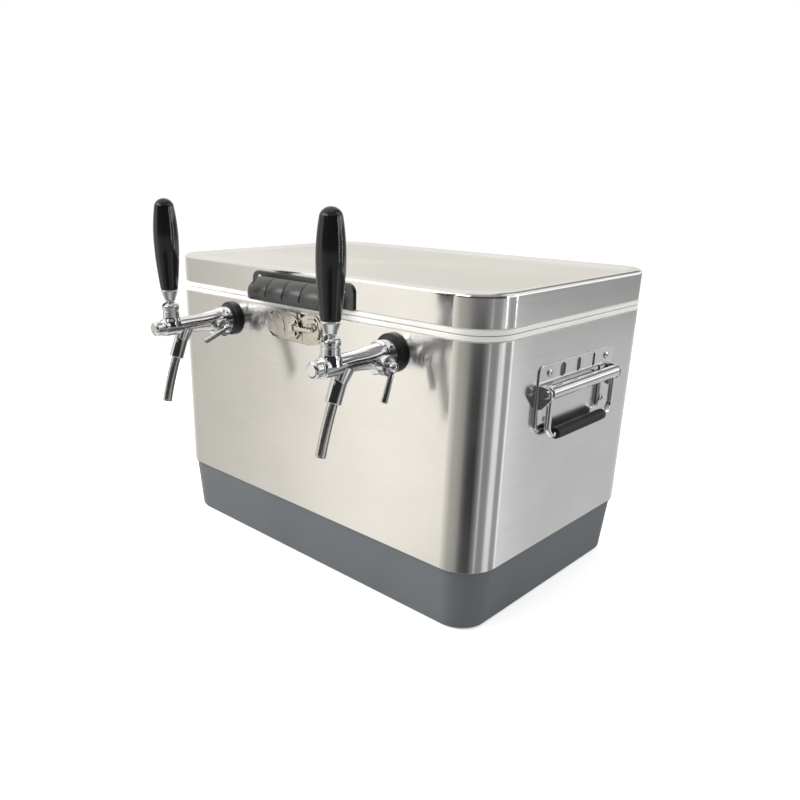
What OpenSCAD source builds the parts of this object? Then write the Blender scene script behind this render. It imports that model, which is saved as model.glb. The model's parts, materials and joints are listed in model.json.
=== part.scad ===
// Insulated beer cooler box with two taps in its front and a cooling coil behind each of them.
// Origin: centre of the underside. The front faces -Y, the lid opens towards +Y, +Z is up.

/* [Body] */
// Width of the steel body, left to right
body_w = 600; // [560:2:700]
// Depth of the steel body, front to back
body_d = 395.5; // [380:0.5:460]
// Radius of the steel body's upright corners
corner_r = 49; // [42:1:60]
// Height of the moulded base
base_h = 85.6; // [76:0.2:100]
// Height of the steel shell above the base
shell_h = 284.2; // [276:0.2:320]
// How far the base stands in from the steel shell
base_step = 3.1; // [2:0.1:5]
// How far the base narrows on each side from its top to the floor
base_taper = 7.2; // [2:0.2:12]
// Radius of the base's lower edge
base_edge_r = 5; // [3:0.5:8]
// Height of the base's collar inside the steel shell
spigot_h = 14; // [8:1:24]
// Wall of the moulded base
tub_t = 3; // [2:0.5:4]
// Thickness of the steel sheet
sheet_t = 1; // [0.6:0.1:1.4]
// Height of the white rim on the body
rim_h = 6.8; // [6:0.2:10]

/* [Insulation] */
// Thickness of the side walls, from the steel to the ice
wall_t = 38; // [32:1:44]
// Depth of the ice space's floor below the top of the moulded base
floor_sink = 37.6; // [30:0.2:46]
// Wall of the white inner liner
liner_t = 3; // [2:0.5:4]
// Radius of the ice space's upright corners
cavity_r = 35; // [25:1:45]

/* [Lid] */
// Gap between the body's rim and the lid's rim
lid_gap = 0.6; // [0.4:0.1:1.5]
// Height of the white rim on the lid
lid_rim_h = 7.3; // [7:0.1:10]
// Height of the lid's steel skin
lid_skin_h = 39.7; // [36:0.1:52]
// Radius of the lid skin's upright corners
lid_corner_r = 51; // [44:1:60]
// Radius of the lid skin's top edge
lid_edge_r = 11; // [8:0.5:13]
// Distance from the lid's side to the pressed top panel
panel_in = 14; // [13:0.5:20]
// Run of the slope down into the top panel
panel_slope = 8; // [4:0.5:12]
// Depth of the top panel
panel_depth = 4; // [2:0.5:5]
// Depth of the lid's plug in the ice space
plug_h = 13; // [8:1:20]
// Play between the lid's plug and the ice space
plug_play = 5; // [4:0.5:8]
// Width of the lid gasket
gasket_w = 8; // [5:0.5:12]
// Thickness of the lid gasket
gasket_h = 2.3; // [1.5:0.1:3]
// Distance from the lid's side to the gasket
gasket_in = 15; // [12:0.5:20]

/* [Lid grip] */
// Width of the grip's back plate
grip_plate_w = 196; // [180:1:220]
// Height of the grip's back plate
grip_plate_h = 33; // [30:0.5:36]
// Thickness of the grip's back plate
grip_plate_t = 3; // [2:0.5:4]
// Height of the back plate's lower edge above the foot of the lid's rim
grip_plate_z = 6; // [5:0.5:8]
// Corner radius of the back plate
grip_plate_r = 12; // [6:1:15]
// Width of the grip's lip
grip_lip_w = 134; // [110:1:140]
// How far the back plate's middle sits to the right
grip_plate_right = 3; // [0:1:8]
// How far the lip's middle sits to the left
grip_lip_left = 5; // [0:1:8]
// How far each end of the grip slopes in from the wall to the lip
grip_end_run = 18; // [8:1:20]
// How far the lip stands out from the lid
grip_out = 28.5; // [24:0.5:34]
// Height of the lip's lower edge, measured from the back plate's lower edge
grip_drop = 2; // [0:0.5:3]
// Wall of the grip
grip_t = 3; // [2:0.5:4]
// Number of finger pads across the lip
grip_pads = 4; // [3:1:6]
// Width of the grooves between the pads
groove_w = 1.2; // [0.8:0.1:2]
// Depth of the grooves between the pads
groove_deep = 0.9; // [0.5:0.1:1.5]
// Distance from the back plate's end to its screws
grip_screw_in = 17; // [12:0.5:20]
// Distance from the back plate's top to its screws
grip_screw_down = 9; // [8:0.5:12]

/* [Hinges] */
// Distance of each hinge from the middle
hinge_x = 190; // [120:1:200]
// Width of a hinge
hinge_w = 70; // [50:1:90]
// Height of the leaf on the body
hinge_body_leaf = 32; // [26:1:40]
// Height of the leaf on the lid
hinge_lid_leaf = 30; // [28:1:32]
// Thickness of the leaves
leaf_t = 2; // [1.5:0.1:2.5]
// Radius of the hinge knuckles
knuckle_r = 4.8; // [4.5:0.1:5.5]
// Radius of the hinge pins
hinge_pin_r = 2.5; // [2:0.1:3]

/* [Taps] */
// Distance between the two taps
tap_pitch = 314; // [290:1:340]
// How far the pair of taps sits to the right of the middle
tap_shift = 7; // [0:1:12]
// Depth of the tap's axis below the top of the steel shell
tap_down = 28.3; // [27:0.1:34]
// Radius of the shank
shank_r = 11; // [10:0.5:11.5]
// Radius of the shank's bore
shank_bore_r = 4; // [3:0.5:5]
// Radius of the black flange
flange_r = 24; // [22:0.5:26]
// Thickness of the black flange
flange_t = 10; // [8:0.5:12]
// Radius of the chrome collar behind the tap
collar_r = 18; // [16:0.5:20]
// Length of the chrome collar behind the tap
collar_l = 14; // [12:0.5:18]
// Radius of the tap's barrel
barrel_r = 12; // [11.5:0.25:13]
// Radius of the bore in which the plunger slides
barrel_bore_r = 8.2; // [7.5:0.1:8.4]
// Distance of the lever from the wall
lever_out = 103; // [98:1:115]
// Length of the barrel in front of the lever
barrel_nose = 15; // [13:0.5:20]
// Length of the front cap that shows
cap_l = 14; // [10:0.5:20]
// Radius of the front cap
cap_r = 9.8; // [9:0.1:11]
// Height of the lever's pivot above the barrel's axis
pivot_up = 20.5; // [19:0.5:24]
// Radius of the lever column
column_r = 11.5; // [11:0.25:12.5]
// Radius of the spout collar
spout_r = 9.75; // [9:0.25:11]
// Slant of the spout collar from upright, in degrees
spout_slant = 21.8; // [15:0.2:26]
// Length of the spout collar
spout_l = 40.4; // [34:0.2:50]
// Radius of the nozzle tube
nozzle_r = 6.35; // [5.5:0.05:7]
// Wall of the nozzle tube
nozzle_t = 0.9; // [0.6:0.1:1.5]
// Length of the nozzle tube below its collar
nozzle_l = 63; // [40:1:80]
// How much the nozzle straightens towards upright, in degrees
nozzle_bend = 8; // [4:1:12]

/* [Tap levers] */
// Radius of the lever's ball
ball_r = 6.4; // [6:0.1:6.5]
// Radius of the lever's stem
stem_r = 3.8; // [3:0.1:4]
// Radius of the lever's tail inside the barrel
tail_r = 2.5; // [2:0.1:3]
// Lower radius of the chrome ferrule
ferrule_r1 = 7.35; // [6:0.05:8]
// Upper radius of the chrome ferrule
ferrule_r2 = 11.65; // [10:0.05:13]
// Length of the chrome ferrule
ferrule_l = 15; // [12:0.5:20]
// Length of the black handle
handle_l = 118; // [90:1:150]
// Radius of the black handle at its widest
handle_r = 16.5; // [14:0.25:19]
// Radius of the black handle's shoulder
handle_top_r = 12.5; // [10:0.25:14]
// Furthest pull of the lever, in degrees
pull = 38; // [20:1:38]

/* [Flow control] */
// Distance of the flow control from the wall
flow_out = 31; // [30:0.5:36]
// How far the flow control sits below the tap's axis
flow_down = 7.5; // [5:0.5:9]
// Radius of the flow control's hub
hub_r = 10.5; // [9:0.25:12]
// Distance of the hub's end from the tap's axis
hub_l = 24; // [22:0.5:28]
// Radius of the flow lever's knob
knob_r = 6.2; // [5.5:0.1:7]
// Length of the flow lever
flow_l = 43; // [30:1:50]
// Downward slant of the left flow lever, in degrees
flow_left = 19; // [0:1:80]
// Downward slant of the right flow lever, in degrees
flow_right = 70; // [0:1:80]

/* [Cooling coils] */
// Radius of a coil, to the middle of its tube
coil_r = 100; // [80:1:108]
// Radius of the coil's tube
tube_r = 4; // [3:0.25:4.5]
// Full turns of a coil
coil_turns = 12; // [4:1:16]
// Rise of a coil in each turn
coil_rise = 10; // [9.5:0.5:14]
// Bend radius of the tube at the coil's outlet
outlet_bend_r = 25; // [18:1:26]
// Bend radius of the tube at the coil's inlet
inlet_bend_r = 20; // [16:1:22]
// Sideways distance from the coil's middle to its outlet
outlet_x = 32; // [28:1:40]
// Sideways distance from the coil's middle to its inlet
inlet_x = 50; // [48:1:60]
// Depth of the inlets in the back wall below the top of the steel shell
inlet_down = 69.8; // [62:0.2:110]
// Length of an inlet's thread outside the back wall
inlet_thread_l = 25; // [18:1:35]
// Radius of an inlet's thread beyond its nut
inlet_thread_r = 10.5; // [9:0.25:10.75]
// Distance from the wall's inner side to the end of each shank
shank_tail = 28; // [24:1:32]

/* [Catch] */
// Width of the catch's base plate
catch_w = 109; // [80:1:120]
// Height of the catch's base plate
catch_h = 41; // [34:0.5:44]
// How far the catch sits to the left of the middle
catch_left = 12; // [0:1:16]
// Distance from the steel shell's top to the catch's middle
catch_down = 22; // [21:0.5:26]
// Corner radius of the base plate's two lobes
catch_lobe_r = 11; // [8:0.5:14]
// Distance of the catch's rivets from the plate's ends
catch_rivet_in = 9; // [7:0.5:12]
// Distance of the catch's rivets from the plate's top and bottom
catch_rivet_down = 11; // [8:0.5:13]
// Thickness of the catch's sheet
catch_t = 1.6; // [1.2:0.1:2]
// Radius of the catch's turning disc
disc_r = 12.5; // [10:0.5:14]
// Radius of the catch's pivot
catch_pivot_r = 4; // [3:0.25:4.5]
// Length of the catch's wing, from the pivot
wing_l = 45; // [35:1:50]
// Height of the catch's wing
wing_h = 9.5; // [8:0.5:12]
// Travel of the catch's tongue
tongue_travel = 8; // [4:0.5:8]

/* [Side handles] */
// Width of a handle plate
plate_w = 186; // [170:1:200]
// Height of a handle plate
plate_h = 81; // [76:1:90]
// Height of the plate's part above the bail's axis
plate_up = 33; // [30:0.5:38]
// Thickness of a handle plate
plate_t = 2; // [1.5:0.1:2.5]
// Distance from the steel shell's top to the handle's axis
handle_down = 71.8; // [60:0.2:90]
// How far the handles sit towards the back
handle_back = 3; // [0:0.5:8]
// Width of the plate's legs
plate_leg_w = 32; // [26:1:36]
// Distance between the slots in the plate
slot_pitch = 39; // [30:1:42]
// Width of the slots in the plate
slot_w = 14; // [8:0.5:18]
// Height of the slots in the plate
slot_h = 17; // [12:0.5:18]
// Sideways distance from the handle's middle to its screws
handle_screw_y = 71; // [66:0.5:76]
// Radius of the bail's rolled sleeve
sleeve_r = 9; // [8:0.25:10]
// Radius of the bail's rod
bail_r = 4; // [3:0.25:4.5]
// Distance from one leg of the bail to the other
bail_w = 160; // [146:1:164]
// Drop from the bail's axis to its grip
bail_drop = 55; // [45:1:60]
// Radius of the rubber grip
bail_grip_r = 8.5; // [7:0.25:8.8]
// Length of the rubber grip
bail_grip_l = 121; // [90:1:124]
// Radius of the bail's corners
bail_corner_r = 15; // [12:1:18]
// Radius of the handle's pin
bail_pin_r = 3; // [2.5:0.1:3.5]

/* [Drain] */
// Height of the drain above the ice space's floor
drain_up = 14.5; // [14.5:0.5:18]
// Radius of the drain's bore
drain_bore_r = 8; // [6:0.25:9]
// Radius of the drain's tube
drain_r = 11; // [10:0.25:12]
// Radius of the drain's outer flange
drain_flange_r = 19; // [16:0.5:20]
// Radius of the drain plug's head
plug_head_r = 13; // [10:0.5:15]
// Length of the drain plug's finger tab
plug_tab_l = 7; // [5:0.5:9]
// Width of the drain plug's finger tab
plug_tab_w = 16; // [10:0.5:18]
// Thickness of the drain plug's finger tab
plug_tab_t = 4; // [3:0.5:6]

/* [Fasteners and fits] */
// Play between the shells and the foam
fit = 0.2; // [0.1:0.05:0.4]
// Play of shanks in the holes of the wall
hole_play = 0.5; // [0.3:0.1:1]
// Radial play of a running fit
run_fit = 0.05; // [0.03:0.01:0.08]
// Gap between faces that slide past each other
slide_gap = 0.3; // [0.2:0.05:0.5]
// Radius of the handle and grip screws
screw_r = 2.4; // [2:0.1:2.5]
// Radius of the screw heads
screw_head_r = 4.8; // [4:0.1:5]
// Length of the handle and grip screws in the wall
screw_l = 16; // [12:1:20]
// Radius of the rivets
rivet_r = 2; // [1.6:0.1:2.2]
// Length of the rivets in the wall
rivet_l = 10; // [6:1:14]
// Width across the flats of the shank nuts, as a radius to the corner
nut_r = 18; // [16.5:0.5:20]
// Thickness of the shank nuts
nut_t = 8; // [6:0.5:10]
// Corner radius of the coil nuts
coil_nut_r = 13; // [12:0.5:14]

/* [Hidden] */
$fn = 64;

half_w = body_w / 2;
half_d = body_d / 2;
slab = 0.02;  // thickness of the slices that a rounded form is stretched over

// heights of the body, from the floor up
spigot_z = base_h + spigot_h;
shell_z = base_h + shell_h;
rim_z = shell_z + rim_h;
lid_z = rim_z + lid_gap;
skin_z = lid_z + lid_rim_h;
top_z = skin_z + lid_skin_h;
plug_z = lid_z - plug_h;

// floor and half sizes of the ice space, of the foam and of the lid's plug
floor_t = base_h - floor_sink;
cavity_w = half_w - wall_t;
cavity_d = half_d - wall_t;
foam_in = sheet_t + fit;
plug_in = wall_t + plug_play;
plug_r = cavity_r - plug_play;
pan_t = liner_t - 0.5;
gasket_seat = gasket_h - (lid_gap - slide_gap);  // how deep the gasket sits in the lid's rim
pan_floor = lid_z + gasket_seat + pan_t;

// taps
tap_x = [tap_shift - tap_pitch / 2, tap_shift + tap_pitch / 2];
tap_z = shell_z - tap_down;
inlet_z = shell_z - inlet_down;
barrel_end = lever_out + barrel_nose;
bonnet_r = column_r + 0.5;
column_h = pivot_up + 2.5;
ferrule_gap_z = 15.5;  // from the lever's pivot up to the ferrule
dome_r = ferrule_gap_z - slide_gap;
tail_l = pivot_up + 1;
plunger_rate = 20;     // millimetres of plunger travel for each radian of lever
plunger_travel = plunger_rate * pull * PI / 180;
plunger_front = lever_out + 11;
plunger_back = lever_out - 29;

// hinge axis
knuckle_y = half_d + leaf_t + 3.2;
knuckle_z = rim_z + lid_gap / 2;

// handles
handle_z = shell_z - handle_down;
bail_x = half_w + plate_t + sleeve_r + slide_gap + 0.2;
ear_y = bail_w / 2 + bail_r + 4.5;
ear_t = 2.5;
catch_z = shell_z - catch_down;

// ---------------------------------------------------------------- helpers

// Rounded rectangle with the given half sizes
module rounded_rect(w, d, r) {
    square([2 * w - 2 * r, 2 * d], center = true);
    square([2 * w, 2 * d - 2 * r], center = true);
    for (x = [-1, 1], y = [-1, 1]) translate([x * (w - r), y * (d - r)]) circle(r = r);
}

// Upright block of the body's outline, drawn in by inset, from z0 to z1
module body_block(inset, z0, z1, r = corner_r) {
    translate([0, 0, z0]) linear_extrude(z1 - z0) rounded_rect(half_w - inset, half_d - inset, max(r - inset, 2));
}

// Convex form over slices of the body's outline: each level is [inset, z]
module body_stack(levels, r = corner_r) {
    hull() for (level = levels)
        translate([0, 0, level[1]]) linear_extrude(slab)
            rounded_rect(half_w - level[0], half_d - level[0], max(r - level[0], 2));
}

// The base's tapered outer form, drawn in by inset on the sides and below
module base_form(inset) {
    r = max(base_edge_r - inset, 0.5);
    foot = base_step + base_taper + inset;
    turn = [for (a = [0:30:90]) [foot + r * (1 - cos(a)), inset + r * (1 - sin(a))]];
    body_stack(concat([[base_step + inset, base_h - slab]], turn));
}

// The lid skin's outer form, drawn in by inset on the sides and above
module lid_form(inset) {
    r = max(lid_edge_r - inset, 0.5);
    turn = [for (a = [0:15:90]) [inset + r * (1 - cos(a)), top_z - inset - slab - r * (1 - sin(a))]];
    body_stack(concat([[inset, skin_z]], turn), lid_corner_r);
}

// The hollow above the lid's pressed panel, grown by grow
module panel_form(grow) {
    body_stack([[panel_in - grow, top_z + 1], [panel_in - grow, top_z - grow],
        [panel_in + panel_slope - grow, top_z - panel_depth - grow]], lid_corner_r);
}

// Bar with its axis along -Y, from u0 to u1 in front of the local origin
module forward(u0, u1, r, r_end = -1) {
    translate([0, -u0, 0]) rotate([90, 0, 0]) cylinder(h = u1 - u0, r1 = r, r2 = r_end < 0 ? r : r_end);
}

// Bar with its axis along +Y
module backward(u0, u1, r) {
    translate([0, u0, 0]) rotate([-90, 0, 0]) cylinder(h = u1 - u0, r = r);
}

// Turned shape with its axis along -Y: points are [radius, distance in front]
module turned_forward(points) {
    rotate([90, 0, 0]) rotate_extrude() polygon(points);
}

// Bar with its axis along +X
module sideways(x0, x1, r) {
    translate([x0, 0, 0]) rotate([0, 90, 0]) cylinder(h = x1 - x0, r = r);
}

// Stands a drawing of [distance in front, height] upright, its thickness towards -X
module profile_plane() {
    rotate([90, 0, -90]) children();
}

// Hexagonal nut with its axis along -Y
module hex_nut(u0, u1, r, bore) {
    difference() {
        rotate([0, 30, 0]) translate([0, -u0, 0]) rotate([90, 0, 0]) cylinder(h = u1 - u0, r = r, $fn = 6);
        forward(u0 - 1, u1 + 1, bore);
    }
}

// Domed head with a shank behind it, along -Y: its seat is at the local origin
module rivet(r, head_r, head_h, l) {
    forward(-l, 0.01, r);
    turned_forward([[0, 0], [head_r, 0], [head_r, head_h * 0.35], [head_r * 0.75, head_h * 0.8],
        [head_r * 0.35, head_h], [0, head_h]]);
}

module at_tap(side) {
    translate([tap_x[side], -half_d, tap_z]) children();
}

// Runs at the two inlets; each is turned so that -Y points out of the back wall
module at_inlet(side) {
    translate([inlet_at(side), half_d, inlet_z]) rotate([0, 0, 180]) children();
}

function side_sign(side) = side == 0 ? -1 : 1;
function coil_at(side) = tap_x[side] - side_sign(side) * outlet_x;
function inlet_at(side) = coil_at(side) + side_sign(side) * inlet_x;

module on_side(side) {
    mirror([side == 0 ? 1 : 0, 0, 0]) children();
}

module at_handle_screws() {
    for (y = [-1, 1], z = [handle_z + plate_up - 11, handle_z + plate_up - plate_h + 12])
        translate([half_w, handle_back + y * handle_screw_y, z]) rotate([0, 0, 90]) children();
}

module at_grip_screws() {
    for (x = [-1, 1])
        translate([grip_plate_right + x * (grip_plate_w / 2 - grip_screw_in), -half_d,
            lid_z + grip_plate_z + grip_plate_h - grip_screw_down]) children();
}

module at_catch_rivets() {
    for (x = [-1, 1], z = [-1, 1])
        translate([x * (catch_w / 2 - catch_rivet_in) - catch_left, -half_d,
            catch_z + z * (catch_h / 2 - catch_rivet_down)]) children();
}

module at_hinges() {
    for (x = [-1, 1]) translate([x * hinge_x, 0, 0]) children();
}

module at_hinge_rivets(z) {
    at_hinges() for (x = [-1, 1])
        translate([x * (hinge_w / 2 - 12), half_d, z]) rotate([0, 0, 180]) children();
}

hinge_body_rivet_z = knuckle_z - knuckle_r - hinge_body_leaf / 2 - 2;
hinge_lid_rivet_z = skin_z + hinge_lid_leaf / 2;

// Holes through the insulated wall for the shanks
module wall_holes(grow) {
    for (side = [0, 1]) {
        at_tap(side) forward(-wall_t - 1, 1, shank_r + grow);
        at_inlet(side) forward(-wall_t - 1, 1, shank_r + grow);
    }
}

// Holes for the screws and rivets of the body
module body_fastener_holes() {
    for (side = [0, 1]) on_side(side) at_handle_screws() forward(-screw_l - 1, 1, screw_r + 0.1);
    at_catch_rivets() forward(-rivet_l - 1, 1, rivet_r + 0.1);
    at_hinge_rivets(hinge_body_rivet_z) forward(-rivet_l - 1, 1, rivet_r + 0.1);
}

module drain_hole(grow) {
    translate([0, 0, floor_t + drain_up]) sideways(-half_w - 1, -cavity_w + 1, drain_r + grow);
}

// ---------------------------------------------------------------- body

drain_seat = half_w - base_step;  // distance from the middle to the flat boss around the drain

module base_tub() {
    color([0.42, 0.45, 0.48]) difference() {
        union() {
            difference() {
                base_form(0);
                base_form(tub_t);
            }
            difference() {
                body_block(foam_in, base_h - tub_t, spigot_z, corner_r);
                body_block(foam_in + tub_t, base_h - tub_t - 1, spigot_z + 1, corner_r);
            }
            intersection() {
                translate([0, 0, floor_t + drain_up])
                    sideways(-drain_seat, -drain_seat + base_taper + tub_t + 2, drain_flange_r + 2);
                body_block(base_step, 0, base_h);
            }
        }
        drain_hole(hole_play);
    }
}

module body_foam() {
    boss_in = drain_seat - base_taper - tub_t - 2 - fit;
    color([0.93, 0.87, 0.68]) difference() {
        union() {
            base_form(tub_t + fit);
            body_block(base_step + tub_t + fit, base_h - 1, base_h + fit);
            body_block(foam_in + tub_t + fit, base_h + fit, spigot_z + fit);
            body_block(foam_in, spigot_z + fit, shell_z);
            body_block(liner_t + fit, shell_z, rim_z - liner_t - fit);
        }
        body_block(wall_t - liner_t - fit, floor_t - liner_t - fit, rim_z, cavity_r + wall_t);
        wall_holes(hole_play);
        body_fastener_holes();
        drain_hole(hole_play);
        translate([0, 0, floor_t + drain_up]) sideways(-half_w, -boss_in, drain_flange_r + 2 + fit);
    }
}

module body_wrap() {
    color([0.80, 0.79, 0.76]) difference() {
        body_block(0, base_h, shell_z);
        body_block(sheet_t, base_h - 1, shell_z + 1);
        wall_holes(hole_play);
        body_fastener_holes();
    }
}

module inner_liner() {
    color([0.96, 0.96, 0.95]) difference() {
        union() {
            difference() {
                body_block(0, shell_z, rim_z);
                body_block(liner_t, shell_z - 1, rim_z - liner_t);
            }
            body_block(wall_t - liner_t, floor_t - liner_t, rim_z, cavity_r + wall_t);
        }
        body_block(wall_t, floor_t, rim_z + 1, cavity_r + wall_t);
        wall_holes(hole_play);
        drain_hole(hole_play);
    }
}

// ---------------------------------------------------------------- lid

module lid_skin() {
    color([0.80, 0.78, 0.74]) difference() {
        lid_form(0);
        difference() {
            translate([0, 0, -slab * 2]) lid_form(sheet_t);
            panel_form(sheet_t);
        }
        panel_form(0);
        at_grip_screws() forward(-screw_l - 1, 1, screw_r + 0.1);
        at_hinge_rivets(hinge_lid_rivet_z) forward(-rivet_l - 1, 1, rivet_r + 0.1);
    }
}

module lid_foam() {
    color([0.93, 0.87, 0.68]) difference() {
        union() {
            body_block(plug_in + pan_t + fit, plug_z + pan_t + fit, pan_floor + fit + 1, plug_r + plug_in);
            body_block(pan_t + fit, pan_floor + fit, skin_z, lid_corner_r);
            lid_form(sheet_t + fit);
        }
        panel_form(sheet_t + fit);
        at_grip_screws() forward(-screw_l - 1, 1, screw_r + 0.1);
        at_hinge_rivets(hinge_lid_rivet_z) forward(-rivet_l - 1, 1, rivet_r + 0.1);
    }
}

module lid_pan() {
    color([0.96, 0.96, 0.95]) difference() {
        union() {
            body_block(0, lid_z, skin_z);
            body_block(plug_in, plug_z, lid_z + 1, plug_r + plug_in);
        }
        body_block(pan_t, pan_floor, skin_z + 1);
        body_block(plug_in + pan_t, plug_z + pan_t, skin_z, plug_r + plug_in);
        difference() {
            body_block(gasket_in, lid_z - 1, lid_z + gasket_seat);
            body_block(gasket_in + gasket_w, lid_z - 2, lid_z + gasket_seat + 1);
        }
    }
}

module lid_gasket() {
    color([0.35, 0.36, 0.37]) translate([0, 0, lid_z + gasket_seat - gasket_h]) difference() {
        body_block(gasket_in + fit, 0, gasket_h);
        body_block(gasket_in + gasket_w - fit, -1, gasket_h + 1);
    }
}

// ---------------------------------------------------------------- lid grip

grip_z = lid_z + grip_plate_z;
grip_top = grip_plate_h - 5;    // where the grip's back meets its plate
grip_recess_r = 8.5;            // half the width of the round recess at each screw

// Section of the grip in [distance in front, height], drawn in by t
function grip_section(t) = concat(
    [[0, -grip_drop - 3 * (t > 0 ? 1 : 0)], [0, grip_top - t]],
    [for (a = [80:-10:0]) [(grip_out - t) * (0.16 + 0.84 * cos(a)), (grip_top - t - 5) * sin(a) + 5 * (1 - t / grip_t)]],
    [[grip_out - t - 1.5, -grip_drop - 3 * (t > 0 ? 1 : 0)]]);

// Plan of the grip's sloping ends, drawn in by t, as an upright block
module grip_plan(t) {
    w = grip_lip_w / 2;
    translate([-grip_lip_left, -half_d, grip_z - 10]) linear_extrude(grip_plate_h + 20)
        polygon([[-w - grip_end_run + t, 0], [-w + t, -grip_out], [w - t, -grip_out], [w + grip_end_run - t, 0]]);
}

module grip_bulge(t) {
    w = grip_lip_w / 2 + grip_end_run;
    intersection() {
        translate([w - grip_lip_left, -half_d, grip_z]) profile_plane() linear_extrude(2 * w) polygon(grip_section(t));
        grip_plan(t);
    }
}

module grip_grooves() {
    pitch = grip_lip_w / grip_pads;
    for (i = [1:grip_pads - 1])
        translate([(i - grip_pads / 2) * pitch + groove_w / 2 - grip_lip_left, -half_d, grip_z])
            profile_plane() linear_extrude(groove_w) difference() {
                translate([4, 2]) square([grip_out + 5, grip_plate_h]);
                polygon(grip_section(groove_deep));
            }
}

module lid_grip() {
    color([0.24, 0.25, 0.26]) difference() {
        union() {
            translate([grip_plate_right, -half_d, grip_z + grip_plate_h / 2]) rotate([90, 0, 0])
                linear_extrude(grip_plate_t) union() {
                    rounded_rect(grip_plate_w / 2, grip_plate_h / 2, grip_plate_r);
                    translate([-grip_plate_w / 2, -grip_plate_h / 2]) square([grip_plate_w, grip_plate_r]);
                }
            difference() {
                grip_bulge(0);
                difference() {
                    grip_bulge(grip_t);
                    at_grip_screws() forward(0, grip_out, grip_recess_r + 2.5);
                }
                grip_grooves();
            }
        }
        at_grip_screws() forward(grip_plate_t, grip_out + 1, grip_recess_r);
        at_grip_screws() forward(-1, grip_plate_t + 1, screw_r + 0.1);
    }
}

module grip_screws() {
    color([0.85, 0.84, 0.82]) at_grip_screws() translate([0, -grip_plate_t, 0])
        rivet(screw_r, screw_head_r - 0.6, 2.2, screw_l);
}

module lid_strike() {
    color([0.82, 0.77, 0.66]) translate([-catch_left, -half_d, lid_z + 1]) {
        translate([-13, -1.5, 0]) cube([26, 1.5, grip_plate_z - 1.3]);
        translate([-13, -6, 0]) cube([26, 5, 1.4]);
    }
}

// ---------------------------------------------------------------- hinges

// Flat leaf on the back wall, from z0 to z1, with its knuckle arms
module leaf(z0, z1) {
    translate([-hinge_w / 2, half_d, z0]) cube([hinge_w, leaf_t, z1 - z0]);
}

module knuckle(x0, x1, arm_down) {
    difference() {
        union() {
            translate([0, knuckle_y, knuckle_z]) sideways(x0, x1, knuckle_r);
            translate([x0, half_d, knuckle_z + (arm_down ? -knuckle_r - 4 : 0)])
                cube([x1 - x0, leaf_t, knuckle_r + 4]);
            translate([x0, half_d + fit, knuckle_z + (arm_down ? -knuckle_r * 0.7 : 0)])
                cube([x1 - x0, knuckle_y - half_d - fit, knuckle_r * 0.7]);
        }
        translate([0, knuckle_y, knuckle_z]) sideways(x0 - 1, x1 + 1, hinge_pin_r + run_fit);
    }
}

module hinge_body_leaves() {
    third = hinge_w / 4;
    color([0.78, 0.78, 0.77]) difference() {
        at_hinges() {
            leaf(knuckle_z - knuckle_r - hinge_body_leaf, knuckle_z - knuckle_r - 1);
            knuckle(-hinge_w / 2, -third - slide_gap, true);
            knuckle(third + slide_gap, hinge_w / 2, true);
        }
        at_hinge_rivets(hinge_body_rivet_z) forward(-1, leaf_t + 1, rivet_r + 0.1);
    }
}

module hinge_lid_leaves() {
    third = hinge_w / 4;
    color([0.78, 0.78, 0.77]) difference() {
        at_hinges() {
            leaf(knuckle_z + knuckle_r + 1, skin_z + hinge_lid_leaf);
            knuckle(-third, third, false);
        }
        at_hinge_rivets(hinge_lid_rivet_z) forward(-1, leaf_t + 1, rivet_r + 0.1);
    }
}

module hinge_pins() {
    color([0.7, 0.7, 0.7]) at_hinges() translate([0, knuckle_y, knuckle_z]) {
        sideways(-hinge_w / 2 - 1.5, hinge_w / 2 + 1.5, hinge_pin_r);
        sideways(-hinge_w / 2 - 1.5, -hinge_w / 2 - 0.1, hinge_pin_r + 1);
        sideways(hinge_w / 2 + 0.1, hinge_w / 2 + 1.5, hinge_pin_r + 1);
    }
}

module hinge_rivets(z) {
    color([0.75, 0.75, 0.74]) at_hinge_rivets(z) translate([0, -leaf_t, 0]) rivet(rivet_r, 4, 1.6, rivet_l);
}

// ---------------------------------------------------------------- taps

module tap_flange(side) {
    color([0.10, 0.10, 0.11]) at_tap(side) difference() {
        turned_forward([[0, 0], [flange_r - 1, 0], [flange_r, 1], [flange_r, flange_t * 0.5],
            [flange_r - 1.5, flange_t * 0.62], [flange_r - 4, flange_t * 0.66], [flange_r - 4.6, flange_t], [0, flange_t]]);
        forward(-1, flange_t + 1, shank_r + slide_gap);
    }
}

// Threaded tube through the wall: its tail takes the coil
module shank_tube(front) {
    difference() {
        union() {
            forward(-wall_t - shank_tail + 14, front, shank_r);
            forward(-wall_t - shank_tail, front - 1, 8);
        }
        forward(-wall_t - shank_tail - 1, front + 1, shank_bore_r);
    }
}

module shank(side) {
    color([0.80, 0.80, 0.81]) at_tap(side) shank_tube(flange_t + collar_l - 3);
}

module locknuts() {
    color([0.78, 0.76, 0.70]) for (side = [0, 1]) {
        at_tap(side) hex_nut(-wall_t - nut_t, -wall_t, nut_r, shank_r + run_fit);
        at_inlet(side) hex_nut(-wall_t - nut_t, -wall_t, nut_r, shank_r + run_fit);
    }
}

module coil_nut() {
    back = -wall_t - shank_tail;
    difference() {
        hex_nut(back - 4, back + 13.5, coil_nut_r, tube_r + slide_gap);
        forward(back, back + 14.5, 8 + run_fit);
    }
}

module coil_nuts() {
    color([0.78, 0.76, 0.70]) for (side = [0, 1]) {
        at_tap(side) coil_nut();
        at_inlet(side) coil_nut();
    }
}

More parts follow.
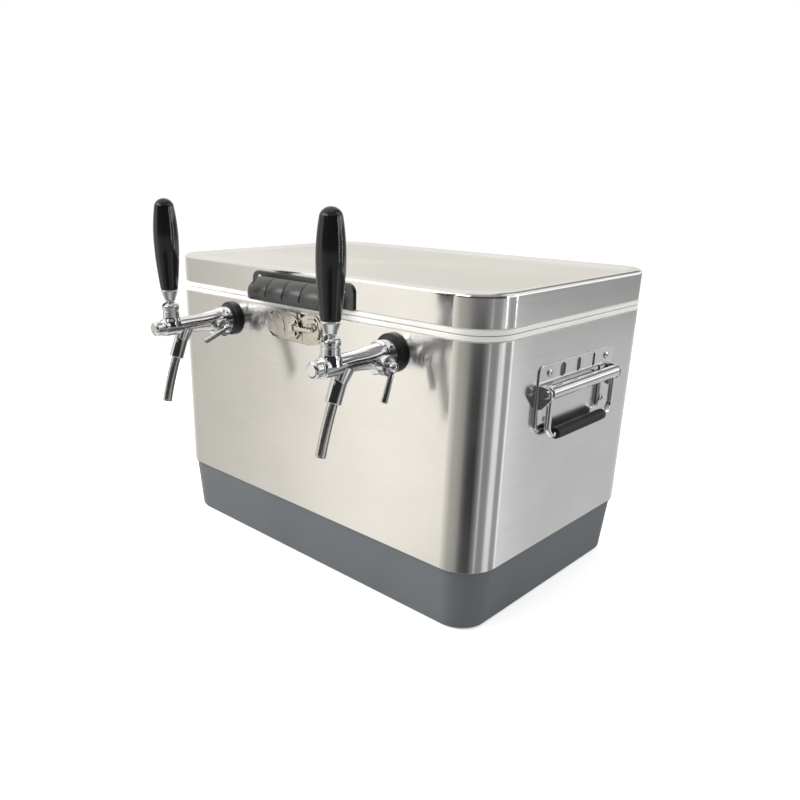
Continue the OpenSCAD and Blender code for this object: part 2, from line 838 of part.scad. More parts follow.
// The tap's turned body, from the collar to the end of the barrel, as [radius, distance in front]
collar_end = flange_t + collar_l;
tap_outline = [[0, flange_t], [collar_r - 0.8, flange_t], [collar_r, flange_t + 0.8], [collar_r, collar_end - 1],
    [collar_r - 1, collar_end], [collar_r - 2.2, collar_end + 2.5], [collar_r - 2.8, collar_end + 6],
    [barrel_r + 1.4, collar_end + 22], [barrel_r + 0.4, collar_end + 34], [barrel_r, collar_end + 42],
    [barrel_r, barrel_end - 1.5], [barrel_r - 1.5, barrel_end], [0, barrel_end]];

// Middle of the spout collar's root and of its end, as [distance in front, height]
spout_root = [lever_out - 19, -6];
spout_end = [spout_root[0] + spout_l * sin(spout_slant), spout_root[1] - spout_l * cos(spout_slant)];

module spout_bar(from, to, r) {
    translate([0, -spout_root[0], spout_root[1]]) rotate([180 - spout_slant, 0, 0])
        translate([0, 0, from]) cylinder(h = to - from, r = r);
}

module lever_column() {
    cylinder(r = column_r, h = column_h - 1);
    cylinder(r = column_r - 0.8, h = column_h + 2);
    translate([0, 0, column_h + 0.7]) intersection() {
        cylinder(r = bonnet_r, h = ferrule_gap_z - 4);
        translate([0, 0, pivot_up - column_h - 0.7]) sphere(r = dome_r);
    }
}

module tap_body(side) {
    color([0.82, 0.82, 0.84]) at_tap(side) difference() {
        union() {
            turned_forward(tap_outline);
            translate([0, -lever_out, 0]) lever_column();
            spout_bar(0, spout_l, spout_r);
            translate([0, -flow_out, -flow_down]) sideways(0, hub_l, hub_r);
        }
        forward(flange_t - 1, collar_end - 2.8, shank_r + run_fit);
        forward(flange_t, lever_out - 30, shank_bore_r);
        forward(plunger_back - plunger_travel - 2, barrel_end + 1, barrel_bore_r);
        translate([0, -lever_out, pivot_up]) sphere(r = ball_r + slide_gap);
        translate([0, -lever_out, pivot_up]) hull() for (a = [-1, pull + 1])
            rotate([a, 0, 0]) cylinder(r = stem_r + slide_gap, h = 22);
        translate([0, -lever_out, pivot_up]) hull() for (a = [-1, pull + 1])
            rotate([a, 0, 0]) translate([0, 0, -pivot_up]) cylinder(r = tail_r + slide_gap, h = pivot_up);
        spout_bar(2, spout_l + 1, nozzle_r - nozzle_t);
        spout_bar(spout_l - 9, spout_l + 1, nozzle_r + slide_gap);
        translate([0, -flow_out, -flow_down]) {
            sideways(hub_l - 6, hub_l + 1, hub_r - 1.9);
            sideways(hub_l - 17, hub_l, 5 + run_fit);
        }
        rotate([0, -40, 0]) translate([0, -flange_t - collar_l * 0.55, 0])
            sideways(collar_r - 5, collar_r + 1, 1.7);
    }
}

module front_cap(side) {
    color([0.84, 0.84, 0.85]) at_tap(side) {
        forward(barrel_end - 3, barrel_end, barrel_bore_r - 0.1);
        turned_forward([[0, barrel_end], [cap_r, barrel_end], [cap_r, barrel_end + cap_l - 3],
            [cap_r - 0.9, barrel_end + cap_l - 0.9], [cap_r - 3, barrel_end + cap_l], [0, barrel_end + cap_l]]);
    }
}

// Curved nozzle: a slice of a ring whose centre lies towards the wall; its first stretch sits in the spout
module nozzle(side) {
    ring_r = nozzle_l / (nozzle_bend * PI / 180);
    seated = 8 / ring_r * 180 / PI;
    color([0.72, 0.71, 0.69]) at_tap(side) profile_plane()
        translate([spout_end[0] - ring_r * cos(spout_slant), spout_end[1] - ring_r * sin(spout_slant)])
            rotate([0, 0, spout_slant - nozzle_bend]) rotate_extrude(angle = nozzle_bend + seated, $fn = 360)
                translate([ring_r, 0]) nozzle_ring();
}

module nozzle_ring() {
    difference() {
        circle(r = nozzle_r, $fn = 48);
        circle(r = nozzle_r - nozzle_t, $fn = 48);
    }
}

module plunger(side) {
    color([0.75, 0.70, 0.55]) at_tap(side) difference() {
        forward(plunger_back, plunger_front, barrel_bore_r - 0.1);
        translate([-tail_r - slide_gap, -lever_out - tail_r - 5.4, -5])
            cube([2 * (tail_r + slide_gap), 2 * tail_r + 6.6, 20]);
    }
}

module lever(side) {
    color([0.82, 0.82, 0.84]) at_tap(side) translate([0, -lever_out, pivot_up]) {
        sphere(r = ball_r);
        cylinder(r = stem_r, h = ferrule_gap_z + 1);
        translate([0, 0, -tail_l]) cylinder(r = tail_r, h = tail_l);
        translate([0, 0, ferrule_gap_z]) cylinder(r1 = ferrule_r1, r2 = ferrule_r2, h = ferrule_l);
        translate([0, 0, ferrule_gap_z + ferrule_l]) cylinder(r = 5, h = 25);
    }
}

// Outline of the handle as [radius, height]: a belly between two eased ends
handle_outline = concat(
    [[0, 0], [ferrule_r2 - 0.6, 0], [ferrule_r2 + 0.1, 1]],
    [for (k = [0.08:0.08:0.56]) [ferrule_r2 + (handle_r - ferrule_r2) * sin(90 * k / 0.56), k * handle_l]],
    [for (k = [0.62:0.06:0.86]) [handle_top_r + (handle_r - handle_top_r) * pow(cos(90 * (k - 0.56) / 0.36), 0.8), k * handle_l]],
    [for (a = [0:15:75]) [(handle_top_r + 0.4) * cos(a), handle_l * 0.9 + handle_l * 0.1 * sin(a)]],
    [[0, handle_l]]);

module tap_handle(side) {
    color([0.03, 0.03, 0.035]) at_tap(side)
        translate([0, -lever_out, pivot_up + ferrule_gap_z + ferrule_l]) difference() {
            rotate_extrude() polygon(handle_outline);
            translate([0, 0, -1]) cylinder(r = 5 + run_fit, h = 27);
        }
}

module flow_lever(side) {
    slant = side == 0 ? flow_left : flow_right;
    bar_r = 4.2;
    knob_x = hub_l + bar_r + 1;
    color([0.82, 0.82, 0.84]) at_tap(side) translate([0, -flow_out, -flow_down]) {
        sideways(hub_l - 16, knob_x, 5);
        translate([knob_x, 0, 0]) sphere(r = knob_r);
        translate([knob_x, 0, 0]) rotate([90 + slant, 0, 0]) cylinder(r1 = 3.3, r2 = bar_r, h = flow_l - 1);
        translate([knob_x, 0, 0]) rotate([90 + slant, 0, 0]) cylinder(r = 3.2, h = flow_l);
    }
}

// ---------------------------------------------------------------- cooling coils

// Each ring of the tube is [middle, direction, outward side]; the right-hand coil, seen from its own middle.
// The tube comes in from the back wall, drops to the floor, winds upwards and leaves through the front.
coil_z = floor_t + tube_r + slide_gap;
coil_top = coil_z + coil_rise * (coil_turns + 0.5);
tail_y = cavity_d - shank_tail;
turn_steps = 20;
bend_steps = 5;
inlet_bend = [for (i = [0:bend_steps]) let (a = 90 * i / bend_steps)
    [[inlet_x, coil_r + outlet_bend_r * (1 - sin(a)), inlet_z - outlet_bend_r * (1 - cos(a))],
        [0, -cos(a), -sin(a)], [0, sin(a), -cos(a)]]];
foot_bend = [for (i = [0:bend_steps]) let (a = 90 * i / bend_steps)
    [[inlet_x - inlet_bend_r * (1 - cos(a)), coil_r, coil_z + inlet_bend_r * (1 - sin(a))],
        [-sin(a), 0, -cos(a)], [0, 1, 0]]];
windings = [for (i = [0:turn_steps * (coil_turns + 0.5)]) let (a = 90 + 360 * i / turn_steps)
    [[coil_r * cos(a), coil_r * sin(a), coil_z + coil_rise * i / turn_steps],
        [-sin(a), cos(a), 0], [cos(a), sin(a), 0]]];
rise_bend = [for (i = [0:bend_steps]) let (a = 90 * i / bend_steps)
    [[outlet_x - outlet_bend_r * (1 - sin(a)), -coil_r, coil_top + outlet_bend_r * (1 - cos(a))],
        [cos(a), 0, sin(a)], [0, -1, 0]]];
outlet_bend = [for (i = [0:bend_steps]) let (a = 90 * i / bend_steps)
    [[outlet_x, -coil_r - outlet_bend_r * (1 - cos(a)), tap_z - outlet_bend_r * (1 - sin(a))],
        [0, -sin(a), cos(a)], [0, -cos(a), -sin(a)]]];
coil_rings = concat([[[inlet_x, tail_y, inlet_z], [0, -1, 0], [0, 0, -1]]], inlet_bend, foot_bend, windings,
    rise_bend, outlet_bend, [[[outlet_x, -tail_y, tap_z], [0, -1, 0], [0, 0, -1]]]);

// Closed tube of the given number of sides through the rings
module swept_tube(rings, r, sides) {
    points = [for (ring = rings, j = [0:sides - 1]) let (a = 360 * j / sides)
        ring[0] + r * (cos(a) * ring[2] + sin(a) * cross(ring[1], ring[2]))];
    last = (len(rings) - 1) * sides;
    sides_faces = [for (i = [0:len(rings) - 2], j = [0:sides - 1]) let (k = (j + 1) % sides)
        [i * sides + j, i * sides + k, (i + 1) * sides + k, (i + 1) * sides + j]];
    polyhedron(points, concat([[for (j = [sides - 1:-1:0]) j]], sides_faces, [[for (j = [0:sides - 1]) last + j]]));
}

module coil(side) {
    color([0.80, 0.80, 0.80]) translate([coil_at(side), 0, 0]) on_side(side)
        swept_tube(coil_rings, tube_r, 8);
}

module inlet_shank(side) {
    color([0.80, 0.80, 0.81]) at_inlet(side) {
        shank_tube(2 + nut_t);
        difference() {
            forward(nut_t, inlet_thread_l, inlet_thread_r);
            forward(nut_t - 1, inlet_thread_l + 1, shank_bore_r);
        }
    }
}

module inlet_nuts() {
    color([0.78, 0.76, 0.70]) for (side = [0, 1]) at_inlet(side) hex_nut(2, 2 + nut_t, nut_r, shank_r + run_fit);
}

module inlet_washers() {
    color([0.10, 0.10, 0.11]) for (side = [0, 1]) at_inlet(side) difference() {
        forward(0, 2, nut_r + 3);
        forward(-1, 3, shank_r + slide_gap);
    }
}

// ---------------------------------------------------------------- drain

module at_drain() {
    translate([-drain_seat, 0, floor_t + drain_up]) rotate([0, 0, -90]) children();
}

drain_inner = drain_seat - cavity_w;  // from the boss to the ice space's side wall

module drain_fitting() {
    color([0.90, 0.90, 0.89]) at_drain() difference() {
        union() {
            forward(-drain_inner - 7, 2 + 3, drain_r);
            forward(2, 5, drain_flange_r);
        }
        forward(-drain_inner - 8, 6, drain_bore_r);
    }
}

module drain_washer() {
    color([0.10, 0.10, 0.11]) at_drain() difference() {
        forward(0, 2, drain_flange_r - 1);
        forward(-1, 3, drain_r + slide_gap);
    }
}

module drain_nut() {
    color([0.90, 0.90, 0.89]) at_drain() hex_nut(-drain_inner - 6, -drain_inner, drain_r + 3, drain_r + run_fit);
}

module drain_plug() {
    color([0.90, 0.90, 0.89]) at_drain() {
        forward(-22, 5.2, drain_bore_r - run_fit);
        turned_forward([[0, 5.1], [plug_head_r - 1, 5.1], [plug_head_r, 6.1], [plug_head_r, 9], [plug_head_r - 1, 10],
            [0, 10]]);
        translate([-plug_tab_t / 2, -10 - plug_tab_l, -plug_tab_w / 2]) cube([plug_tab_t, plug_tab_l + 1, plug_tab_w]);
    }
}

// ---------------------------------------------------------------- catch

module catch_frame() {
    translate([-catch_left, -half_d, catch_z]) children();
}

module catch_plate() {
    lobe_w = catch_w / 4 - 1;
    color([0.82, 0.77, 0.66]) difference() {
        catch_frame() {
            rotate([90, 0, 0]) linear_extrude(catch_t) {
                for (x = [-1, 1]) translate([x * (catch_w / 2 - lobe_w), 0])
                    rounded_rect(lobe_w, catch_h / 2 - 2, catch_lobe_r);
                circle(r = catch_h / 2);
            }
            forward(0, 9.2, catch_pivot_r);
            forward(8.4, 9.8, catch_pivot_r + 2.4);
        }
        at_catch_rivets() forward(-1, catch_t + 1, rivet_r + 0.1);
    }
}

module catch_rivets() {
    color([0.80, 0.76, 0.66]) at_catch_rivets() translate([0, -catch_t, 0]) rivet(rivet_r, 3.6, 1.4, rivet_l);
}

tongue_y = catch_t + 0.2;
turn_y = tongue_y + catch_t + 0.2;

module catch_tongue() {
    slot_r = catch_pivot_r + slide_gap;
    color([0.78, 0.73, 0.62]) catch_frame() translate([0, -tongue_y, 0]) {
        rotate([90, 0, 0]) linear_extrude(catch_t) difference() {
            translate([-8.5, -slot_r - tongue_travel - 4]) square([17, catch_h / 2 + slot_r + tongue_travel + 4]);
            for (z = [0, -tongue_travel]) translate([0, z]) circle(r = slot_r);
            translate([-slot_r, -tongue_travel]) square([2 * slot_r, tongue_travel]);
        }
        translate([-8.5, -catch_t - 1.6, catch_h / 2 - 1.6]) cube([17, 1.8, 1.6]);
    }
}

module catch_turn() {
    loop_l = 12;
    loop_h = 4.2;
    disc_t = 2;
    color([0.84, 0.79, 0.69]) catch_frame() difference() {
        union() {
            forward(turn_y, turn_y + disc_t, disc_r);
            forward(turn_y, turn_y + 4, catch_pivot_r + 3);
            translate([0, -turn_y, 0]) rotate([90, 0, 0]) linear_extrude(3.4) {
                translate([0, -wing_h / 2 + 0.5]) square([wing_l - wing_h / 2, wing_h - 1]);
                translate([wing_l - wing_h / 2 - 1, 0]) circle(r = wing_h / 2 + 0.6);
            }
        }
        forward(turn_y - 1, turn_y + 6, catch_pivot_r + run_fit);
        translate([wing_l - wing_h / 2 - loop_l + 1, -turn_y + 1, -loop_h / 2]) rotate([90, 0, 0])
            linear_extrude(8) square([loop_l, loop_h]);
    }
}

// ---------------------------------------------------------------- side handles

module handle_plate(side) {
    z_top = handle_z + plate_up;
    sill = handle_z + sleeve_r + 3;   // lower edge of the plate between its legs
    color([0.80, 0.80, 0.80]) on_side(side) {
        difference() {
            translate([half_w, handle_back, z_top - plate_h / 2]) rotate([90, 0, 90]) linear_extrude(plate_t)
                rounded_rect(plate_w / 2, plate_h / 2, 7);
            translate([half_w - 1, handle_back - plate_w / 2 + plate_leg_w, z_top - plate_h - 1])
                cube([plate_t + 2, plate_w - 2 * plate_leg_w, sill - z_top + plate_h + 1]);
            for (i = [-1:1]) translate([half_w - 1, handle_back + i * slot_pitch, z_top - slot_h / 2 - 2.2])
                rotate([90, 0, 90]) linear_extrude(plate_t + 2) rounded_rect(slot_w / 2, slot_h / 2, slot_w / 2 - 1);
            at_handle_screws() forward(-1, plate_t + 1, screw_r + 0.1);
        }
        for (y = [-1, 1]) handle_ear(y);
    }
}

// Ear that stands out from the plate and holds the pin
module handle_ear(y) {
    ear_out = bail_x - half_w + 6;
    translate([half_w, handle_back + y * ear_y - ear_t / 2, handle_z]) rotate([-90, 0, 0])
        linear_extrude(ear_t) difference() {
            union() {
                polygon([[0, -22], [6, -20], [ear_out, -5], [ear_out, 5], [0, 9]]);
                translate([bail_x - half_w, 0]) circle(r = 7.5);
            }
            translate([bail_x - half_w, 0]) circle(r = bail_pin_r + run_fit);
        }
}

module handle_pins() {
    reach = ear_y + ear_t / 2 + 0.1;
    color([0.80, 0.80, 0.80]) for (side = [0, 1]) on_side(side)
        translate([bail_x, handle_back, handle_z]) {
            backward(-reach, reach, bail_pin_r);
            backward(-reach - 2, -reach, bail_pin_r + 2);
            backward(reach, reach + 2, bail_pin_r + 2);
        }
}

module handle_screws() {
    color([0.80, 0.80, 0.80]) for (side = [0, 1]) on_side(side) at_handle_screws() translate([0, -plate_t, 0])
        rivet(screw_r, screw_head_r, 2.6, screw_l);
}

// Rod that hangs from the sleeve and carries the grip
module bail(side) {
    reach = bail_w / 2;
    straight = bail_drop - bail_corner_r;
    color([0.82, 0.82, 0.82]) on_side(side) translate([bail_x, handle_back, handle_z]) difference() {
        union() {
            backward(-reach - bail_r, reach + bail_r, sleeve_r);
            for (y = [-1, 1]) {
                translate([0, y * reach, -straight]) cylinder(r = bail_r, h = straight);
                translate([0, y * (reach - bail_corner_r), -straight]) mirror([0, y < 0 ? 1 : 0, 0])
                    rotate([0, 90, 0]) bail_corner();
            }
            translate([0, 0, -bail_drop]) backward(-reach + bail_corner_r, reach - bail_corner_r, bail_r);
        }
        backward(-reach - bail_r - 1, reach + bail_r + 1, bail_pin_r + run_fit);
        backward(-reach + 4, reach - 4, sleeve_r - 1.8);
    }
}

// Quarter ring of the bail's rod
module bail_corner() {
    rotate_extrude(angle = 90) translate([bail_corner_r, 0]) circle(r = bail_r, $fn = 32);
}

module bail_grip(side) {
    color([0.09, 0.09, 0.10]) on_side(side) translate([bail_x, handle_back, handle_z - bail_drop]) difference() {
        backward(-bail_grip_l / 2, bail_grip_l / 2, bail_grip_r);
        backward(-bail_grip_l / 2 - 1, bail_grip_l / 2 + 1, bail_r + run_fit);
    }
}

// ---------------------------------------------------------------- output

base_tub();
body_foam();
body_wrap();
inner_liner();
tap_flange(0);  // left_flange
tap_flange(1);  // right_flange
shank(0);  // left_shank
shank(1);  // right_shank
tap_body(0);  // left_tap_body
tap_body(1);  // right_tap_body
front_cap(0);  // left_front_cap
front_cap(1);  // right_front_cap
nozzle(0);  // left_nozzle
nozzle(1);  // right_nozzle
plunger(0);  // left_plunger
plunger(1);  // right_plunger
lever(0);  // left_lever
lever(1);  // right_lever
tap_handle(0);  // left_tap_handle
tap_handle(1);  // right_tap_handle
flow_lever(0);  // left_flow_lever
flow_lever(1);  // right_flow_lever
coil(0);  // left_coil
coil(1);  // right_coil
locknuts();
coil_nuts();
inlet_shank(0);  // left_inlet_shank
inlet_shank(1);  // right_inlet_shank
inlet_nuts();
inlet_washers();
drain_fitting();
drain_washer();
drain_nut();
drain_plug();
hinge_body_leaves();
hinge_lid_leaves();
hinge_pins();
hinge_rivets(hinge_body_rivet_z);  // hinge_body_rivets
hinge_rivets(hinge_lid_rivet_z);  // hinge_lid_rivets
lid_skin();
lid_foam();
lid_pan();
lid_gasket();
lid_grip();
grip_screws();
lid_strike();
catch_plate();
catch_rivets();
catch_tongue();
catch_turn();
handle_plate(0);  // left_handle_plate
handle_plate(1);  // right_handle_plate
handle_pins();
handle_screws();
bail(0);  // left_bail
bail(1);  // right_bail
bail_grip(0);  // left_bail_grip
bail_grip(1);  // right_bail_grip
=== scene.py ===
import json
import math
import bmesh
import bpy
import numpy as np
from mathutils import Matrix, Vector


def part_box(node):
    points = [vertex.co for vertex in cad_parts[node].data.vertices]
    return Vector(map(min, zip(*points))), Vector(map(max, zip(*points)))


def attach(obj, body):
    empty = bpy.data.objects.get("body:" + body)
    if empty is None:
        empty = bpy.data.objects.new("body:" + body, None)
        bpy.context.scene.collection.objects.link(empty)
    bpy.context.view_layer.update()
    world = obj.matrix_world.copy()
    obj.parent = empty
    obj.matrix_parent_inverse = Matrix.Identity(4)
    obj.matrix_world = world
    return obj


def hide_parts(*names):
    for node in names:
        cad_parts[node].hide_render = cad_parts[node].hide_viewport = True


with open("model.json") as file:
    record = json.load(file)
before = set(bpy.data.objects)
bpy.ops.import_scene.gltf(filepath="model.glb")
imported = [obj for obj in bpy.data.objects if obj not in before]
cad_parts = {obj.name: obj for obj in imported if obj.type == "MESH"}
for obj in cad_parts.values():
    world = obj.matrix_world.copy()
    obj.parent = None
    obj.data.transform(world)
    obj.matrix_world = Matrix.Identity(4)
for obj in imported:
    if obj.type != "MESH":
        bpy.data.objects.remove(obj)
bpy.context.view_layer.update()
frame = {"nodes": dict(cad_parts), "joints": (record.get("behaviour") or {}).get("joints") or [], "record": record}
mm = 0.001
joints = {j["name"]: np.array(j["pos_m"]) / mm for j in frame["joints"] if "pos_m" in j}
print("frame loaded:", len(frame["nodes"]), "nodes")


def boxOf(node):
    # lowest and highest corner of a CAD node in millimetres
    low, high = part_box(node)
    return np.array(low) / mm, np.array(high) / mm


wrapLow, wrapHigh = boxOf("body_wrap")
halfWidth, halfDepth = wrapHigh[0], wrapHigh[1]
baseTop, steelTop = wrapLow[2], wrapHigh[2]
rimTop = boxOf("inner_liner")[1][2]
lidPlugZ, skinZ = boxOf("lid_pan")[0][2], boxOf("lid_pan")[1][2]
lidTopZ = boxOf("lid_skin")[1][2]
lidZ = boxOf("lid_strike")[0][2] - 1
wallY = -halfDepth


# camera, light and floor
camera = {"lens": 33.745, "place": (0.74297, -0.86506, 0.53873), "shiftX": 0.0722, "shiftY": 0.0542,
          "right": (0.70772931, 0.70641206, 0.01006143), "up": (-0.24317914, 0.2302119, 0.94226662),
          "back": (0.66331224, -0.66931643, 0.33471238)}


class Wire:
    # a socket of a node tree: arithmetic on it adds Math nodes, node() adds any other node
    def __init__(self, tree, socket=None):
        self.tree, self.socket = tree, socket

    def node(self, kind, settings=None, values=None, out=0):
        made = self.tree.nodes.new("ShaderNode" + kind)
        for key, value in (settings or {}).items():
            if key == "stops":
                ramp = made.color_ramp
                while len(ramp.elements) > 1:
                    ramp.elements.remove(ramp.elements[-1])
                ramp.elements[0].position = value[0][0]
                for place, _ in value[1:]:
                    ramp.elements.new(place)
                for element, (_, colour) in zip(ramp.elements, value):
                    element.color = (*colour, 1.0)
            else:
                setattr(made, key, value)
        for key, value in (values or {}).items():
            if isinstance(value, Wire):
                self.tree.links.new(value.socket, made.inputs[key])
            else:
                made.inputs[key].default_value = value
        return Wire(self.tree, made.outputs[out])

    def math(self, operation, *values):
        return self.node("Math", {"operation": operation}, dict(enumerate(values)))

    def __add__(self, other): return self.math("ADD", self, other)
    def __radd__(self, other): return self.math("ADD", other, self)
    def __sub__(self, other): return self.math("SUBTRACT", self, other)
    def __rsub__(self, other): return self.math("SUBTRACT", other, self)
    def __mul__(self, other): return self.math("MULTIPLY", self, other)
    def __rmul__(self, other): return self.math("MULTIPLY", other, self)
    def __truediv__(self, other): return self.math("DIVIDE", self, other)

    def blend(self, first, second):
        # self is the factor between two colours
        return self.node("Mix", {"data_type": "RGBA"}, {0: self, 6: first, 7: second}, 2)

    def spread(self, low, high, toLow=0.0, toHigh=1.0):
        # smooth step of self from low..high to toLow..toHigh
        return self.node("MapRange", {"interpolation_type": "SMOOTHSTEP"},
                         {"Value": self, 1: low, 2: high, 3: toLow, 4: toHigh})


def grey(value, tint=(1, 1, 1)):
    # screen grey 0..255 as a linear colour
    linear = (value / 255) ** 2.2
    return tuple(linear * t for t in tint)


def rgba(colour):
    return (*colour, 1.0)


def newItem(name, data):
    item = bpy.data.objects.new(name, data)
    bpy.context.scene.collection.objects.link(item)
    return item


def makeCamera():
    data = bpy.data.cameras.new("photoCamera")
    data.lens, data.sensor_width = camera["lens"], 36
    data.shift_x, data.shift_y = camera["shiftX"], camera["shiftY"]
    data.clip_start, data.clip_end = 0.01, 50
    item = newItem("photoCamera", data)
    turn = Matrix((camera["right"], camera["up"], camera["back"])).transposed()
    item.matrix_world = Matrix.Translation(camera["place"]) @ turn.to_4x4()
    bpy.context.scene.camera = item


# studio walls by compass direction in degrees from +X, as screen greys seen in metal: listed,
# starting from greys that the photograph's metal shows, so that the steel mirrors a like room
studioWalls = [(-180, 205), (-160, 192), (-146, 190), (-140, 214), (-134, 244), (-129, 248), (-124, 226),
               (-112, 196), (-102, 168), (-90, 160), (-77, 142), (-68, 94), (-58, 56), (-41, 40), (-33, 88),
               (-25, 132), (-20, 196), (-16, 134), (-4, 130), (4, 152), (9, 222), (23, 224), (29, 146),
               (46, 150), (51, 246), (57, 248), (59, 172), (62, 184), (67, 188), (100, 206), (150, 226)]
studio = {"ambient": 0.74, "mirror": 1.12, "keyPower": 84, "glossPower": 20, "fillPower": 30,
          "floorGlow": 0.50, "warm": (1.0, 0.968, 0.895), "cool": (0.972, 0.983, 1.0),
          "ceiling": (1.0, 0.985, 0.95), "stripPower": 3.0}


def makeWorld():
    world = bpy.data.worlds.new("studio")
    world.use_nodes = True
    tree = world.node_tree
    tree.nodes.clear()
    w = Wire(tree)
    ray = w.node("SeparateXYZ", {}, {0: w.node("TexCoord", {}, {}, "Generated")}, 0)
    x, y, z = (Wire(tree, ray.socket.node.outputs[i]) for i in range(3))
    heading = x.math("ARCTAN2", y, x)
    turn = heading / (2 * math.pi) + 0.5
    stops = [((a + 180) / 360, grey(g, studio["warm"] if abs(a) > 75 else studio["cool"]))
             for a, g in studioWalls]
    walls = turn.node("ValToRGB", {"stops": stops}, {0: turn})
    # in the half of the room towards +X the wall is darker from a little below the horizon upwards
    degrees = heading * (180 / math.pi)
    plusHalf = degrees.spread(-84, -72) * (1 - degrees.spread(86, 100))
    shade = z.spread(-0.172, -0.150) * plusHalf
    walls = shade.blend(walls, rgba(grey(146, studio["cool"])))
    # dark room behind the camera, a bright ceiling with two dark beams, and the pale floor
    around = degrees.math("ABSOLUTE", degrees + 48)
    facing = (x - y) * 0.7071
    room = z.spread(-0.07, 0.0) * (1 - z.spread(0.44, 0.50)) * (1 - around.spread(60, 72))
    seen = room.blend(walls, rgba(grey(46)))
    window = degrees.spread(16, 24) * (1 - degrees.spread(84, 96))
    window = window * z.spread(0.08, 0.11) * (1 - z.spread(0.24, 0.27))
    seen = window.blend(seen, rgba((1.25, 1.25, 1.28)))
    ceiling = z.spread(0.16, 0.36) * (1 - window)
    beam = (x * 3.1 + y * 1.7).math("SINE", x * 3.1 + y * 1.7).spread(0.80, 0.94)
    lit = beam.blend(rgba(grey(236, studio["ceiling"])), rgba(grey(120)))
    lit = facing.spread(0.18, 0.40).blend(lit, rgba(grey(150)))
    high = z.spread(0.90, 0.96).blend(lit, rgba(grey(226, studio["ceiling"])))
    seen = (ceiling * (1 - room)).blend(seen, high)
    ground = 1 - z.spread(-0.62, -0.48)
    dim = 1 - z.spread(-0.80, -0.70)
    floorTone = dim.blend(rgba(grey(120)), rgba(grey(232)))
    seen = ground.blend(seen, floorTone)
    path = w.node("LightPath", {}, {}, "Is Camera Ray")
    glossy = Wire(tree, path.socket.node.outputs["Is Glossy Ray"])
    # matt surfaces get an even light that is weak from the dark side of the room
    dimmed = facing.spread(0.25, 0.90) * (1 - z.spread(0.45, 0.80))
    soft = w.node("Background", {}, {"Color": dimmed.blend(rgba((1, 1, 1)), rgba((0.02, 0.02, 0.02))),
                                     "Strength": studio["ambient"]})
    mirror = w.node("Background", {}, {"Color": seen, "Strength": studio["mirror"]})
    plain = w.node("Background", {}, {"Color": rgba((1, 1, 1)), "Strength": 1.0})
    near = w.node("MixShader", {}, {0: glossy, 1: soft, 2: mirror})
    full = w.node("MixShader", {}, {0: path, 1: near, 2: plain})
    out = tree.nodes.new("ShaderNodeOutputWorld")
    tree.links.new(full.socket, out.inputs["Surface"])
    bpy.context.scene.world = world


def makeLamp(name, place, aim, size, power, inGloss=False):
    data = bpy.data.lights.new(name, "AREA")
    data.shape, data.size, data.size_y = "RECTANGLE", size[0], size[1]
    data.energy = power
    item = newItem(name, data)
    item.location = place
    item.rotation_euler = (Vector(aim) - Vector(place)).to_track_quat("-Z", "Y").to_euler()
    item.visible_glossy, item.visible_camera = inGloss, False


def makeFloor():
    mesh = bpy.data.meshes.new("studioFloor")
    reach = 12.0
    mesh.from_pydata([(-reach, -reach, -0.0006), (reach, -reach, -0.0006), (reach, reach, -0.0006),
                      (-reach, reach, -0.0006)], [], [(0, 1, 2, 3)])
    item = newItem("studioFloor", mesh)
    material = bpy.data.materials.new("paleFloor")
    material.use_nodes = True
    tree = material.node_tree
    tree.nodes.clear()
    w = Wire(tree)
    cameraRay = w.node("LightPath", {}, {}, "Is Camera Ray")
    glossyRay = Wire(tree, cameraRay.socket.node.outputs["Is Glossy Ray"])
    matte = w.node("BsdfDiffuse", {}, {"Color": rgba((0.80, 0.80, 0.80))})
    glow = w.node("Emission", {}, {"Color": rgba((1, 1, 1)), "Strength": studio["floorGlow"]})
    bright = w.node("AddShader", {}, {0: matte, 1: glow})
    seen = w.node("MixShader", {}, {0: cameraRay, 1: matte, 2: bright})
    clear = w.node("BsdfTransparent", {}, {})
    full = w.node("MixShader", {}, {0: glossyRay, 1: seen, 2: clear})
    out = tree.nodes.new("ShaderNodeOutputMaterial")
    tree.links.new(full.socket, out.inputs["Surface"])
    mesh.materials.append(material)


bpy.context.scene.view_settings.view_transform = "Standard"
makeCamera()
makeWorld()
makeLamp("keyPanel", (-2.1, -1.7, 1.5), (0, -0.1, 0.25), (1.6, 1.4), studio["keyPower"])
makeLamp("glossPanel", (-0.8, -2.3, 1.9), (0, -0.1, 0.25), (3.0, 0.9), studio["glossPower"], True)
makeLamp("fillPanel", (1.4, 2.3, 1.5), (0, 0, 0.25), (1.6, 1.2), studio["fillPower"])
for number, heading in enumerate((17, 46)):
    # tall thin lamps above the steel's view that draw the fine upright lines on the black handles
    a = math.radians(heading)
    place = (2.6 * math.cos(a), 2.6 * math.sin(a) - 0.2, 0.70)
    makeLamp("strip%d" % number, place, (0, -0.2, 0.70), (0.045, 1.1), studio["stripPower"], True)
makeFloor()
print("camera, world and floor ready")


# finishes
def startFinish(name):
    material = bpy.data.materials.new(name)
    material.use_nodes = True
    tree = material.node_tree
    tree.nodes.clear()
    shader = tree.nodes.new("ShaderNodeBsdfPrincipled")
    out = tree.nodes.new("ShaderNodeOutputMaterial")
    tree.links.new(shader.outputs[0], out.inputs["Surface"])
    w = Wire(tree)
    return material, w, shader, w.node("TexCoord", {}, {}, "Object")


def stretched(place, scale, turn=(0, 0, 0)):
    return place.node("Mapping", {}, {"Vector": place, "Scale": scale, "Rotation": turn})


def noise(place, scale, detail=3.0, rough=0.55):
    return place.node("TexNoise", {}, {"Vector": place, "Scale": scale, "Detail": detail,
                                       "Roughness": rough}, "Fac")


def applyTo(shader, tree, fixed, varying):
    for key, value in fixed.items():
        shader.inputs[key].default_value = value
    for key, value in varying.items():
        tree.links.new(value.socket, shader.inputs[key])


